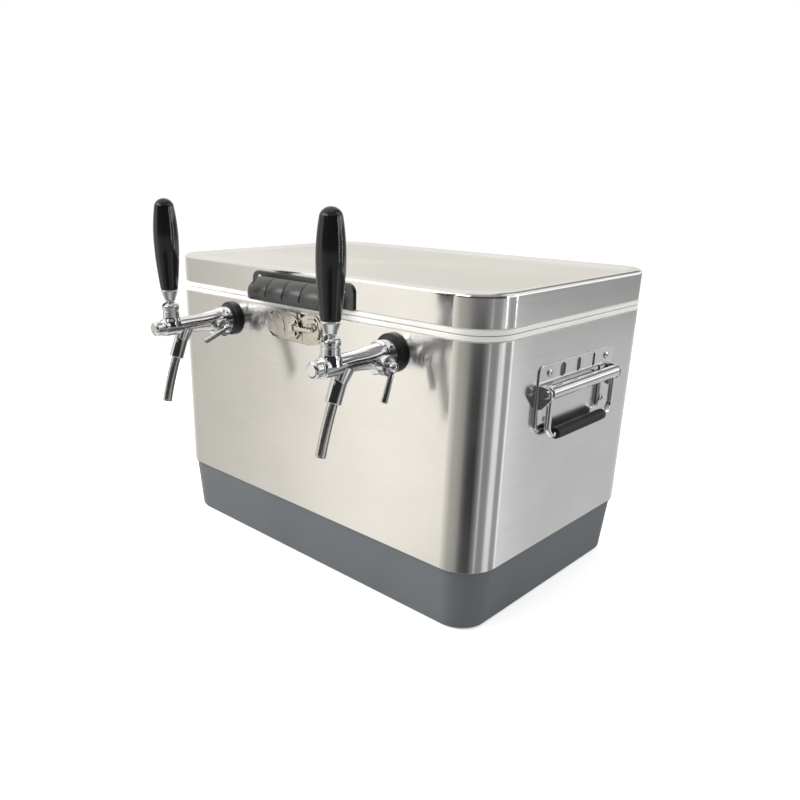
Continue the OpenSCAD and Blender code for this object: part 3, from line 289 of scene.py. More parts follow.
def bumped(height, strength, distance, under=None):
    values = {"Height": height, "Strength": strength, "Distance": distance}
    if under is not None:
        values["Normal"] = under
    return height.node("Bump", {}, values)


steel = {"dark": (0.80, 0.79, 0.77), "light": (0.885, 0.875, 0.855), "rough": 0.135, "grainRough": 0.04,
         "grainDepth": 0.00002, "waveDepth": 0.0008, "anisotropic": 0.86}


def brushedSteel():
    # horizontal grain: noise squeezed across the brushing; flat tops are brushed left to right
    material, w, shader, place = startFinish("brushedSteel")
    normal = w.node("SeparateXYZ", {}, {0: w.node("NewGeometry", {}, {}, "Normal")}, 2)
    upward = normal.math("ABSOLUTE", normal).spread(0.55, 0.85)
    walls = noise(stretched(place, (5.0, 5.0, 1500)), 1.0, 5, 0.7)
    tops = noise(stretched(place, (5.0, 1500, 5.0)), 1.0, 5, 0.7)
    grain = upward * tops + (1 - upward) * walls
    broad = noise(stretched(place, (3.2, 3.2, 3.8)), 1.0, 1, 0.4)
    smudge = noise(stretched(place, (7.0, 7.0, 11.0)), 1.0, 4, 0.6)
    tone = (grain * 0.55 + smudge * 0.45).spread(0.32, 0.70)
    colour = tone.blend(rgba(steel["dark"]), rgba(steel["light"]))
    roughness = steel["rough"] + grain * steel["grainRough"] + smudge.spread(0.5, 0.75) * 0.03
    relief = bumped(grain, 0.25, steel["grainDepth"], bumped(broad, 0.25, steel["waveDepth"]))
    applyTo(shader, w.tree, {"Metallic": 1.0, "Anisotropic": steel["anisotropic"],
                             "Anisotropic Rotation": 0.25},
            {"Base Color": colour, "Roughness": roughness, "Normal": relief})
    return material


def polished(name, dark, light, rough, scratches=0.05, waves=0.12):
    # plated metal: faint smudges in the shine and very fine scratches
    material, w, shader, place = startFinish(name)
    cloud = noise(place, 38.0, 3, 0.6)
    fine = noise(stretched(place, (300, 300, 1500)), 1.0, 2, 0.7)
    colour = cloud.spread(0.35, 0.7).blend(rgba(dark), rgba(light))
    roughness = rough + cloud.spread(0.45, 0.8) * 0.05 + fine * scratches
    relief = bumped(fine, 0.05, 0.0001, bumped(noise(place, 22.0, 1, 0.4), waves, 0.0012))
    applyTo(shader, w.tree, {"Metallic": 1.0}, {"Base Color": colour, "Roughness": roughness,
                                                "Normal": relief})
    return material


def moulded(name, dark, light, rough, grainSize, grainDepth, specular=0.5, gate=6.0):
    # moulded plastic or rubber: fine spark-eroded texture, slow change of tone, light rubbing
    material, w, shader, place = startFinish(name)
    cloud = noise(place, gate, 3, 0.55)
    pores = noise(place, grainSize, 2, 0.6)
    rubbed = noise(stretched(place, (14, 14, 40)), 1.0, 5, 0.7).spread(0.56, 0.72)
    colour = (cloud * 0.7 + pores * 0.3).spread(0.3, 0.7).blend(rgba(dark), rgba(light))
    roughness = rough + (cloud - 0.5) * 0.10 + rubbed * 0.05
    relief = bumped(pores, 0.35, grainDepth)
    applyTo(shader, w.tree, {"Specular IOR Level": specular},
            {"Base Color": colour, "Roughness": roughness, "Normal": relief})
    return material


def foamFinish():
    material, w, shader, place = startFinish("pouredFoam")
    cells = place.node("TexVoronoi", {"feature": "F1"}, {"Vector": place, "Scale": 380.0}, "Distance")
    cloud = noise(place, 9.0, 4, 0.6)
    tone = (cells * 0.6 + cloud * 0.5).spread(0.2, 0.8)
    colour = tone.blend(rgba((0.80, 0.66, 0.36)), rgba((0.90, 0.80, 0.55)))
    applyTo(shader, w.tree, {}, {"Base Color": colour, "Roughness": 0.82 + cloud * 0.12,
                                 "Normal": bumped(cells, 0.6, 0.0008)})
    return material


finishes = {
    "brushed_stainless": brushedSteel(),
    "chrome_plate": polished("chromePlate", (0.80, 0.80, 0.805), (0.88, 0.88, 0.885), 0.055, 0.03),
    "nickel": polished("nickelPlate", (0.70, 0.665, 0.60), (0.83, 0.80, 0.735), 0.19, 0.10, 0.3),
    "plain_brass": polished("plainBrass", (0.72, 0.55, 0.28), (0.84, 0.68, 0.38), 0.22, 0.12, 0.3),
    "tube_stainless": polished("tubeStainless", (0.70, 0.69, 0.67), (0.80, 0.79, 0.77), 0.17, 0.10, 0.2),
    "hinge_steel": polished("hingeSteel", (0.66, 0.66, 0.65), (0.78, 0.78, 0.77), 0.26, 0.14, 0.4),
    "grey_base": moulded("greyBase", (0.112, 0.124, 0.133), (0.132, 0.145, 0.155),
                         0.46, 1500, 0.00010, 0.40),
    "white_plastic": moulded("whitePlastic", (0.83, 0.818, 0.788), (0.86, 0.849, 0.822),
                             0.36, 1300, 0.00005, 0.45),
    "grey_rubber": moulded("greyGasket", (0.10, 0.103, 0.106), (0.125, 0.128, 0.132),
                           0.62, 1800, 0.0001, 0.3),
    "grip_plastic": moulded("gripPlastic", (0.015, 0.0155, 0.016), (0.021, 0.0215, 0.022),
                            0.27, 1600, 0.00005, 1.0),
    "handle_black": moulded("glossBlack", (0.0085, 0.0088, 0.0100), (0.0105, 0.0108, 0.0122),
                            0.085, 300, 0.000003, 0.55),
    "black_plastic": moulded("blackFlange", (0.010, 0.010, 0.011), (0.014, 0.014, 0.015),
                             0.33, 1200, 0.00006, 0.5),
    "black_rubber": moulded("blackRubber", (0.014, 0.014, 0.015), (0.021, 0.021, 0.022),
                            0.55, 1500, 0.00012, 0.35),
    "foam": foamFinish(),
}
print("finishes ready:", len(finishes))

# every CAD node starts with the finish of its slot
nodeSlots = {part["node"]: part["material_slot"] for part in frame["record"]["subparts"]}
for name, item in frame["nodes"].items():
    item.data.materials.clear()
    item.data.materials.append(finishes[nodeSlots[name]])


# mesh tools
def gridFaces(rows, columns, closedRows=False, closedColumns=True):
    # quad i,j joins row i and i+1 with column j and j+1
    i, j = np.meshgrid(np.arange(rows - (not closedRows)), np.arange(columns - (not closedColumns)),
                       indexing="ij")
    k, m = (i + 1) % rows, (j + 1) % columns
    return np.stack([i * columns + j, i * columns + m, k * columns + m, k * columns + j], -1).reshape(-1, 4)


def softCorners(points, radii, steps=5):
    # each corner of the line becomes an arc that is tangent to both sides
    points = [np.array(p, float) for p in points]
    line = [points[0]]
    for before, corner, after, radius in zip(points, points[1:], points[2:], radii):
        a, b = before - corner, after - corner
        la, lb = np.linalg.norm(a), np.linalg.norm(b)
        a, b = a / la, b / lb
        half = math.acos(np.clip(a @ b, -1, 1)) / 2
        if radius <= 0 or half > 1.55:
            line.append(corner)
            continue
        cut = min(radius / math.tan(half), la * 0.49, lb * 0.49)
        radius = cut * math.tan(half)
        middle = corner + (a + b) / np.linalg.norm(a + b) * radius / math.sin(half)
        start, end = corner + a * cut - middle, corner + b * cut - middle
        sweep = math.pi - 2 * half
        t = np.linspace(0, 1, steps + 1)[:, None]
        line.extend(middle + (start * np.sin((1 - t) * sweep) + end * np.sin(t * sweep)) / math.sin(sweep))
    line.append(points[-1])
    return np.array(line)


def loft(rows, cornerSteps=14, capStart=True, capEnd=True, closedRows=False):
    # rows are [inset, z, corner radius]: a rounded rectangle for each, joined upwards
    rows = np.asarray(rows, float)
    quarter = np.linspace(0, 90, cornerSteps + 1)[None, :]
    angle = (quarter + np.arange(4)[:, None] * 90).ravel() * math.pi / 180
    signX = np.repeat([1, -1, -1, 1], cornerSteps + 1)
    signY = np.repeat([1, 1, -1, -1], cornerSteps + 1)
    inset, z, radius = rows[:, 0:1], rows[:, 1:2], rows[:, 2:3]
    x = signX * (halfWidth - inset - radius) + radius * np.cos(angle)
    y = signY * (halfDepth - inset - radius) + radius * np.sin(angle)
    points = np.stack([x, y, np.broadcast_to(z, x.shape)], -1).reshape(-1, 3)
    columns = len(angle)
    faces = [gridFaces(len(rows), columns, closedRows)]
    if capStart and not closedRows:
        faces.append(np.arange(columns)[None, ::-1])
    if capEnd and not closedRows:
        faces.append((len(rows) - 1) * columns + np.arange(columns)[None, :])
    return points, faces


def withRadius(profile, radius, least=2.0):
    profile = np.asarray(profile, float)
    return np.column_stack([profile, np.maximum(radius - profile[:, 0], least)])


def axisFrame(axis):
    axis = np.array(axis, float) / np.linalg.norm(axis)
    helper = np.array([1.0, 0, 0]) if abs(axis[0]) < 0.9 else np.array([0, 1.0, 0])
    side = np.cross(helper, axis)
    side /= np.linalg.norm(side)
    return axis, side, np.cross(axis, side)


def lathe(profile, place, axis, steps=64, ring=False):
    # [radius, distance along the axis] carried round the axis; ring closes the profile on itself
    profile = np.asarray(profile, float)
    axis, side, third = axisFrame(axis)
    angle = np.arange(steps) * 2 * math.pi / steps
    round_ = np.cos(angle)[:, None] * side + np.sin(angle)[:, None] * third
    points = np.asarray(place, float) + profile[:, 1, None, None] * axis + profile[:, 0, None, None] * round_
    return points.reshape(-1, 3), [gridFaces(len(profile), steps, ring)]


def tube(path, radius, sides=20, bore=None, caps=True):
    # circles square to a path; radius may change along it; each circle's frame is carried on from the last
    path = np.asarray(path, float)
    radius = np.broadcast_to(radius, len(path))
    along = np.gradient(path, axis=0)
    along /= np.linalg.norm(along, axis=1)[:, None]
    side = [axisFrame(along[0])[1]]
    for direction in along[1:]:
        turned = side[-1] - (side[-1] @ direction) * direction
        side.append(turned / np.linalg.norm(turned))
    side = np.array(side)
    third = np.cross(along, side)
    angle = np.arange(sides) * 2 * math.pi / sides

    def skin(r):
        return (path[:, None] + r[:, None, None] * (np.cos(angle)[None, :, None] * side[:, None]
                + np.sin(angle)[None, :, None] * third[:, None]))
    if bore is None:
        points = skin(radius)
        if caps:
            points = np.concatenate([np.repeat(path[:1, None], sides, 1), points,
                                     np.repeat(path[-1:, None], sides, 1)])
        return points.reshape(-1, 3), [gridFaces(len(points), sides)]
    points = np.concatenate([skin(radius), skin(np.broadcast_to(bore, len(path)))[::-1]])
    return points.reshape(-1, 3), [gridFaces(len(points), sides, True)]


def hexNut(place, axis, length, cornerRadius, bore, turn=0.0, steps=72):
    # radius of a hexagon by angle, cut by a shallow cone at both ends
    flat = cornerRadius * math.cos(math.pi / 6)
    angle = np.arange(steps) * 2 * math.pi / steps
    hexagon = flat / np.cos((angle + turn) % (math.pi / 3) - math.pi / 6)
    axis, side, third = axisFrame(axis)
    round_ = np.cos(angle)[:, None] * side + np.sin(angle)[:, None] * third
    chamfer = (hexagon - flat * 0.985) * 0.5
    radii = [np.full(steps, bore + 0.6), np.full(steps, flat * 0.985), hexagon, hexagon,
             np.full(steps, flat * 0.985), np.full(steps, bore + 0.6), np.full(steps, bore),
             np.full(steps, bore)]
    heights = [0, 0, chamfer, length - chamfer, length, length, length - 0.6, 0.6]
    place = np.asarray(place, float)
    points = np.stack([place + np.broadcast_to(h, steps)[:, None] * axis + r[:, None] * round_
                       for r, h in zip(radii, heights)])
    return points.reshape(-1, 3), [gridFaces(len(radii), steps, True)]


def screwHead(place, axis, radius, height, recess=True, steps=48, rings=16):
    # a dome by distance from the middle, less a cross whose arms have soft walls
    axis, side, third = axisFrame(axis)
    rho = np.linspace(0, 1, rings + 1)[:, None]
    angle = np.arange(steps)[None, :] * 2 * math.pi / steps
    a, b = rho * radius * np.cos(angle + 0.5), rho * radius * np.sin(angle + 0.5)
    lift = height * np.sqrt(np.clip(1 - (rho * 0.94) ** 2.6, 0, 1)) + 0 * angle
    if recess:
        arm, reach, depth = 0.17 * radius, 0.56 * radius, height * 0.75
        cross = []
        for u, v in ((a, b), (b, a)):
            cross.append(np.clip((arm - abs(u)) / 0.25 + 0.5, 0, 1) * np.clip((reach - abs(v)) / 0.4 + 0.5,
                                                                              0, 1))
        lift = lift - depth * np.maximum(*cross)
    top = np.asarray(place, float) + a[..., None] * side + b[..., None] * third + lift[..., None] * axis
    foot = top[-1] - (lift[-1, :, None] + 0.4) * axis
    middle = np.broadcast_to(np.asarray(place, float) - 0.4 * axis, foot.shape)
    points = np.concatenate([top, foot[None], middle[None]])
    return points.reshape(-1, 3), [gridFaces(len(points), steps)]


def makeMesh(name, patches):
    # all patches in one mesh; merging doubles, turning faces outwards and marking sharp edges by angle are left to
    # cleanMesh
    points, loops, sizes, first = [], [], [], 0
    for spots, faceSets in patches:
        for faces in faceSets:
            loops.append((np.asarray(faces) + first).ravel())
            sizes.append(np.full(len(faces), np.asarray(faces).shape[1]))
        points.append(np.asarray(spots, float))
        first += len(spots)
    points, loops, sizes = np.concatenate(points) * mm, np.concatenate(loops), np.concatenate(sizes)
    mesh = bpy.data.meshes.new(name)
    mesh.vertices.add(len(points))
    mesh.vertices.foreach_set("co", points.astype(np.float32).ravel())
    mesh.loops.add(len(loops))
    mesh.loops.foreach_set("vertex_index", loops.astype(np.int32))
    mesh.polygons.add(len(sizes))
    mesh.polygons.foreach_set("loop_start", np.concatenate([[0], np.cumsum(sizes)[:-1]]).astype(np.int32))
    mesh.update(calc_edges=True)
    return mesh


def cleanMesh(mesh, sharp=34):
    work = bmesh.new()
    work.from_mesh(mesh)
    bmesh.ops.remove_doubles(work, verts=work.verts, dist=2e-6)
    bmesh.ops.dissolve_degenerate(work, edges=work.edges, dist=1e-7)
    bmesh.ops.recalc_face_normals(work, faces=work.faces)
    work.to_mesh(mesh)
    work.free()
    mesh.polygons.foreach_set("use_smooth", np.ones(len(mesh.polygons), bool))
    mesh.set_sharp_from_angle(angle=math.radians(sharp))


def addPiece(name, patches, body, slot, hides=(), sharp=34, weighted=True, ready=None):
    mesh = ready if ready is not None else makeMesh(name, patches)
    cleanMesh(mesh, sharp)
    mesh.materials.clear()
    mesh.materials.append(finishes[slot])
    item = newItem(name, mesh)
    if weighted:
        even = item.modifiers.new("evenNormals", "WEIGHTED_NORMAL")
        even.keep_sharp = True
        even.weight = 60
    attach(item, body)
    if hides:
        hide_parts(*hides)
    return item


def readMesh(mesh):
    # positions of a mesh's corners, and its faces in one array for each number of corners
    spots = np.zeros(len(mesh.vertices) * 3)
    mesh.vertices.foreach_get("co", spots)
    bySize = {}
    for face in mesh.polygons:
        bySize.setdefault(len(face.vertices), []).append(tuple(face.vertices))
    return spots.reshape(-1, 3), [np.array(f) for f in bySize.values()]


def flatPlate(loops, thickness, bevel, place, across, upward):
    # closed outlines, the first outside and the rest holes, filled and given a rounded edge
    curve = bpy.data.curves.new("outline", "CURVE")
    curve.dimensions, curve.fill_mode = "2D", "BOTH"
    curve.extrude, curve.bevel_depth, curve.bevel_resolution = thickness / 2 - bevel, bevel, 2
    curve.offset = -bevel
    for loop in loops:
        loop = np.asarray(loop, float)
        spline = curve.splines.new("POLY")
        spline.points.add(len(loop) - 1)
        spline.points.foreach_set("co", np.column_stack([loop, np.zeros(len(loop)),
                                                         np.ones(len(loop))]).ravel())
        spline.use_cyclic_u = True
    item = newItem("outline", curve)
    mesh = bpy.data.meshes.new_from_object(item.evaluated_get(bpy.context.evaluated_depsgraph_get()))
    bpy.data.objects.remove(item)
    spots, faces = readMesh(mesh)
    bpy.data.meshes.remove(mesh)
    across, upward = np.array(across, float), np.array(upward, float)
    outward = np.cross(across, upward)
    points = (np.asarray(place, float) + spots[:, :1] * across + spots[:, 1:2] * upward
              + (spots[:, 2:] + thickness / 2) * outward)
    return points, faces


def roundedOutline(low, high, radii, steps=8):
    # rectangle with its own radius at each corner: lower left, lower right, upper right, upper left
    loop = []
    for (x, y, start), r in zip([(0, 0, 180), (1, 0, 270), (1, 1, 0), (0, 1, 90)], radii):
        a = np.radians(start + np.linspace(0, 90, steps + 1))
        cx, cy = (high[0] - r if x else low[0] + r), (high[1] - r if y else low[1] + r)
        loop.append(np.column_stack([cx + r * np.cos(a), cy + r * np.sin(a)]))
    return np.concatenate(loop)


def mirrored(patches):
    return [(np.asarray(p) * (-1, 1, 1), f) for p, f in patches]


# body
bodyShape = {"cornerRadius": 49, "sheet": 1.0, "step": 3.1, "taper": 7.2, "footRadius": 5, "wall": 38,
             "cavityRadius": 35, "liner": 3, "collarTop": boxOf("base_tub")[1][2], "tub": 3, "floor": 48}
r0 = bodyShape["cornerRadius"]


def steelWrap():
    t = bodyShape["sheet"]
    ring = softCorners([(0.3, baseTop), (0, baseTop + 0.3), (0, steelTop - 0.3), (0.3, steelTop),
                        (t, steelTop), (t, baseTop), (0.3, baseTop)], [0.3] * 5, 3)
    addPiece("steelWrap", [loft(withRadius(ring[:-1], r0), 16, closedRows=True)], "box", "brushed_stainless",
             ["body_wrap"])


def baseShell():
    s = bodyShape
    foot = s["step"] + s["taper"]
    outer = softCorners([(90, 1.2), (foot + 16, 1.2), (foot + 13, 0), (foot, 0),
                         (s["step"] + 0.2, baseTop - 3.2), (1.4, baseTop - 3), (1.4, s["collarTop"]),
                         (4.2, s["collarTop"]), (4.2, baseTop - 2),
                         (s["step"] + s["tub"] + 0.4, baseTop - 4), (foot + s["tub"], s["tub"] + 1.6),
                         (90, s["tub"] + 1.6)], [1.5, 1.5, s["footRadius"], 0.6, 0.5, 0.4, 0.4, 0.5, 1, 3], 6)
    addPiece("baseShell", [loft(withRadius(outer, r0), 16)], "box", "grey_base", ["base_tub"])


def innerLiner():
    s = bodyShape
    deep = s["cavityRadius"] + s["wall"]
    inner = softCorners([(110, s["floor"]), (s["wall"] + 1.5, s["floor"]), (s["wall"], rimTop),
                         (22, rimTop)], [14, 2.6], 8)
    outer = softCorners([(22, rimTop), (0, rimTop), (0, steelTop + 1.1), (1.3, steelTop + 0.8),
                         (1.3, steelTop + 0.05), (s["liner"], steelTop + 0.05),
                         (s["liner"], rimTop - s["liner"]), (22, rimTop - s["liner"])],
                        [1.6, 0.4, 0.2, 0.1, 0.3, 0], 5)
    back = np.array([(22, rimTop - 3), (s["wall"] - 3, rimTop - 3), (s["wall"] - 3, s["floor"] - 3),
                     (110, s["floor"] - 3)])
    rows = np.concatenate([withRadius(inner, deep), withRadius(outer[1:-1], r0), withRadius(back, deep)])
    addPiece("innerLiner", [loft(rows, 16)], "box", "white_plastic", ["inner_liner"])


steelWrap()
baseShell()
innerLiner()
print("body ready")


# lid
lidShape = {"cornerRadius": 51, "edgeRadius": 11, "panelIn": 14, "panelRun": 8, "panelDeep": 4, "sheet": 1,
            "plugIn": 43, "plugRadius": 30, "panWall": 2.5, "gasketIn": 15, "gasketWide": 8}
lidR = lidShape["cornerRadius"]


def lidSkin():
    s = lidShape
    t, panelZ = s["sheet"], lidTopZ - s["panelDeep"]
    inner = [(90, panelZ - t), (s["panelIn"] + s["panelRun"] - t, panelZ - t),
             (s["panelIn"] - t, lidTopZ - t), (t, lidTopZ - t), (t, skinZ), (0, skinZ), (0, lidTopZ),
             (s["panelIn"], lidTopZ), (s["panelIn"] + s["panelRun"], panelZ), (90, panelZ)]
    line = softCorners(inner, [3, 2, s["edgeRadius"] - t, 0.2, 0.3, s["edgeRadius"], 3.5, 4.5], 7)
    addPiece("lidSkin", [loft(withRadius(line, lidR), 18)], "lid", "brushed_stainless", ["lid_skin"])


def lidPan():
    s = lidShape
    t = s["panWall"]
    floorZ = lidZ + 2.0 + t
    under = softCorners([(120, lidPlugZ + 2.0), (s["plugIn"] + 26, lidPlugZ + 2.0),
                         (s["plugIn"] + 20, lidPlugZ), (s["plugIn"] + 1, lidPlugZ), (s["plugIn"], lidZ),
                         (34, lidZ)], [4, 4, 5, 1.5], 6)
    g0, g1 = s["gasketIn"], s["gasketIn"] + s["gasketWide"]
    seat = lidZ + 2.0
    band = softCorners([(34, lidZ), (g1, lidZ), (g1, seat), (g0, seat), (g0, lidZ), (0, lidZ),
                        (0, skinZ - 1.3), (1.4, skinZ - 0.9), (1.4, skinZ - 0.05), (t, skinZ - 0.05),
                        (t, floorZ), (34, floorZ)],
                       [0.5, 0.3, 0.3, 0.5, 1.6, 0.4, 0.3, 0.1, 0.2, 1.5], 5)
    back = np.array([(34, floorZ), (s["plugIn"] + t, floorZ), (s["plugIn"] + t, lidPlugZ + t + 2),
                     (120, lidPlugZ + t + 2)])
    rows = np.concatenate([withRadius(under, s["plugRadius"] + s["plugIn"]), withRadius(band[1:-1], r0),
                           withRadius(back, s["plugRadius"] + s["plugIn"])])
    addPiece("lidPan", [loft(rows, 16)], "lid", "white_plastic", ["lid_pan"])


def lidGasket():
    low, high = boxOf("lid_gasket")
    g0, g1 = lidShape["gasketIn"] + 0.3, lidShape["gasketIn"] + lidShape["gasketWide"] - 0.3
    middle = (g0 + g1) / 2
    ring = softCorners([(g0, high[2]), (g1, high[2]), (g1, low[2] + 0.9), (middle + 1.2, low[2] + 0.9),
                        (middle + 1, low[2]), (middle - 1, low[2]), (middle - 1.2, low[2] + 0.9),
                        (g0, low[2] + 0.9), (g0, high[2])],
                       [0.3, 0.6, 0.3, 0.5, 0.5, 0.3, 0.6], 4)
    addPiece("lidGasket", [loft(withRadius(ring[:-1], r0), 14, closedRows=True)], "lid", "grey_rubber",
             ["lid_gasket"])


lidSkin()
lidPan()
lidGasket()
print("lid ready")


def closedSoft(points, radii, steps=6):
    # every corner of a closed outline becomes an arc
    points = [np.array(p, float) for p in points]
    seam = (points[-1] + points[0]) / 2
    return softCorners([seam] + points + [seam], radii, steps)[:-1]


def carve(patches, cutters, name):
    # the cutters' closed meshes are taken out of the piece's one by one
    mesh = makeMesh(name, patches)
    cleanMesh(mesh)
    item = newItem(name, mesh)
    for cutter in cutters:
        tool = newItem("cutter", makeMesh("cutter", [cutter]))
        cleanMesh(tool.data)
        cut = item.modifiers.new("cut", "BOOLEAN")
        cut.operation, cut.object, cut.solver = "DIFFERENCE", tool, "EXACT"
        result = bpy.data.meshes.new_from_object(item.evaluated_get(bpy.context.evaluated_depsgraph_get()))
        item.modifiers.clear()
        item.data = result
        bpy.data.objects.remove(tool)
    spots, faces = readMesh(item.data)
    bpy.data.objects.remove(item)
    return spots / mm, faces


def moved(patches, shift):
    return [(np.asarray(p) + np.asarray(shift, float), f) for p, f in patches]


def threadTube(place, axis, radius, length, bore, pitch=1.8, deep=0.45, turnSteps=40):
    # radius ripples along the axis and with the angle, so the ripple runs as a helix; both ends taper
    axis, side, third = axisFrame(axis)
    rows = int(length / pitch * 8)
    along = np.linspace(0, length, rows)[:, None]
    angle = np.arange(turnSteps)[None, :] * 2 * math.pi / turnSteps
    wave = abs(((along / pitch - angle / (2 * math.pi)) % 1) * 2 - 1)
    fade = np.clip(np.minimum(along, length - along) / 1.2, 0, 1)
    r = radius - deep * wave - 0.7 * (1 - fade)
    skin = np.asarray(place, float) + along[..., None] * axis + r[..., None] * (
        np.cos(angle)[..., None] * side + np.sin(angle)[..., None] * third)
    inner = np.asarray(place, float) + along[::-1][[0, -1]][..., None] * axis + bore * (
        np.cos(angle)[..., None] * side + np.sin(angle)[..., None] * third)
    points = np.concatenate([skin, inner])
    return points.reshape(-1, 3), [gridFaces(len(points), turnSteps, True)]


# taps
tapShape = {"flangeRadius": 24, "flangeThick": 10, "collarRadius": 18, "collarLong": 14, "barrelRadius": 12,
            "boreRadius": 8.2, "columnRadius": 11.5, "spoutRadius": 9.75, "spoutSlant": 21.8,
            "spoutLong": 40.4, "spoutRoot": (84, -6), "nozzleRadius": 6.35, "nozzleWall": 0.9,
            "nozzleRing": 451.0, "nozzleBend": 8.0, "hubRadius": 12.4, "hubLong": 23.6, "capRadius": 9.8,
            "capLong": 14, "pull": 38, "ballRadius": 6.4, "stemRadius": 3.8, "tailRadius": 2.5,
            "ferruleLow": 7.35, "ferruleHigh": 11.65, "ferruleStart": 15.5, "ferruleLong": 15, "grubTurn": 40}
handleShape = {"foot": 11.65, "belly": 16.5, "bellyAt": 0.56, "shoulder": 12.5, "long": 118}
flowShape = {"knob": 6.2, "thin": 3.3, "thick": 4.2, "long": 43, "pin": 5.0, "knobOut": 29.2,
             "slant": {"left": 19, "right": 70}}
forward, backward = np.array([0, -1.0, 0]), np.array([0, 1.0, 0])
upward, sideways = np.array([0, 0, 1.0]), np.array([1.0, 0, 0])


def leverSlot(pivot, width, near, far, low, high, flip=1):
    # outline of a stadium whose straight sides follow the lever's swing, carried outwards from the pivot
    a0, a1 = math.radians(low), math.radians(high)
    turn = np.concatenate([np.full(13, a1), np.linspace(a1, a0, 10)[1:-1], np.full(13, a0),
                           np.linspace(a0, a1, 10)[1:-1]])
    phase = np.concatenate([np.linspace(0, 180, 13), np.full(8, 180), np.linspace(180, 360, 13),
                            np.full(8, 360)])
    phase = np.radians(phase)
    out = flip * np.stack([np.zeros_like(turn), -np.sin(turn), np.cos(turn)], -1)
    across = np.stack([np.zeros_like(turn), -np.cos(turn), -np.sin(turn)], -1)
    rim = width * (np.cos(phase)[:, None] * sideways + np.sin(phase)[:, None] * across)
    reach = np.linspace(near, far, 6)[:, None, None]
    points = np.asarray(pivot, float) + reach * out + rim
    n = len(turn)
    return points.reshape(-1, 3), [gridFaces(6, n), np.arange(n)[None, ::-1], 5 * n + np.arange(n)[None, :]]


def tapBodyPatches():
    # the tap's body about its own root on the wall: barrel, lever column, spout collar, flow-control hub
    s = tapShape
    pivot = joints["left_tap_lever_pull"]
    flange = boxOf("left_flange")
    tapZ = (flange[0][2] + flange[1][2]) / 2
    leverOut, pivotUp = wallY - pivot[1], pivot[2] - tapZ
    barrelEnd = wallY - boxOf("left_front_cap")[0][1] - s["capLong"]
    f, c, bore = s["flangeThick"], s["flangeThick"] + s["collarLong"], s["boreRadius"]
    root, top = np.zeros(3), forward * leverOut + upward * pivotUp
    barrel = softCorners([(11.1, f), (s["collarRadius"], f), (s["collarRadius"], c),
                          (s["collarRadius"] - 2.4, c + 1.2), (s["collarRadius"] - 2.9, c + 9),
                          (13.7, c + 22), (12.5, c + 34), (12, c + 44), (s["barrelRadius"], barrelEnd),
                          (bore, barrelEnd), (bore, leverOut - 44.6), (4, leverOut - 46), (4, c - 2.8),
                          (11.1, c - 2.8), (11.1, f)],
                         [0.8, 1.1, 2.0, 12, 60, 90, 90, 1.4, 0.4, 0, 0, 0, 0, 0], 7)[:-1]
    column = softCorners([(0, 2), (s["columnRadius"] + 3.2, 2), (s["columnRadius"] + 1.6, 9),
                          (s["columnRadius"], 13.5), (s["columnRadius"], pivotUp + 1.2),
                          (10.4, pivotUp + 1.7), (10.4, pivotUp + 3.0), (12.0, pivotUp + 3.6),
                          (12.0, pivotUp + 9.0), (9.8, pivotUp + 11.5), (5.2, pivotUp + 14.3),
                          (0, pivotUp + 14.9)], [0, 4, 7, 0.5, 0.3, 0.3, 0.8, 4, 7, 6], 6)
    slant = math.radians(s["spoutSlant"])
    down = np.array([0, -math.sin(slant), -math.cos(slant)])
    spoutRoot = forward * s["spoutRoot"][0] + upward * s["spoutRoot"][1]
    end = s["spoutLong"]
    spout = softCorners([(0, -2), (s["spoutRadius"] + 4.2, -2), (s["spoutRadius"] + 2.0, 7),
                         (s["spoutRadius"], 15), (s["spoutRadius"], end), (6.7, end), (6.7, end - 9),
                         (5.5, end - 9.2), (0, end - 9.2)],
                        [0, 5, 10, 0.9, 0.5, 0, 0], 6)
    hubAt = joints["left_flow_turn"] - np.array([joints["left_tap_lever_pull"][0], wallY, tapZ])
    hubAt[0] = 0
    hr, hl = s["hubRadius"], s["hubLong"]
    hub = softCorners([(0, 4), (hr + 1.6, 4), (hr - 1.4, 13), (hr - 1.6, 14.6), (hr - 0.2, 15.2), (hr, hl),
                       (hr - 2.1, hl), (hr - 2.6, hl - 5.6), (5.2, hl - 5.6), (5.2, hl - 16.2),
                       (0, hl - 16.2)],
                      [0, 3, 0.6, 0.6, 1.0, 0.7, 0.5, 0.2, 0], 6)
    boreCut = lathe([(0, leverOut - 44), (bore, leverOut - 44), (bore, barrelEnd + 2), (0, barrelEnd + 2)],
                    root, forward, 64)
    tailCut = leverSlot(top, s["tailRadius"] + 0.3, 1, pivotUp, -1, s["pull"] + 1, -1)
    stemCut = leverSlot(top, s["stemRadius"] + 0.3, 2, 24, -1, s["pull"] + 1)
    angle = np.linspace(-90, 90, 25) * math.pi / 180
    ballCut = lathe(np.column_stack([6.7 * np.cos(angle), 6.7 * np.sin(angle)]), top, upward, 48)
    a = math.radians(s["grubTurn"])
    grubAxis = np.array([math.cos(a), 0, math.sin(a)])
    grubAt = forward * (f + s["collarLong"] * 0.55)
    grubCut = lathe([(0, s["collarRadius"] - 5), (1.8, s["collarRadius"] - 5), (1.8, 20), (0, 20)], grubAt,
                    grubAxis, 24)
    patches = [carve([lathe(barrel, root, forward, 96, True)], [tailCut, grubCut], "barrel"),
               carve([lathe(column, forward * leverOut, upward, 80)], [tailCut, ballCut, stemCut, boreCut],
                     "column"),
               carve([lathe(spout, spoutRoot, down, 72)], [boreCut], "spout"),
               lathe(hub, hubAt, sideways, 72)]
    grub = [lathe(softCorners([(0, 14.0), (1.7, 14.0), (1.7, 16.4), (0.9, 16.4), (0.9, 15.2), (0, 15.2)],
                              [0, 0.3, 0.1, 0], 3),
                  grubAt, grubAxis, 24)]
    return patches, grub, spoutRoot, down


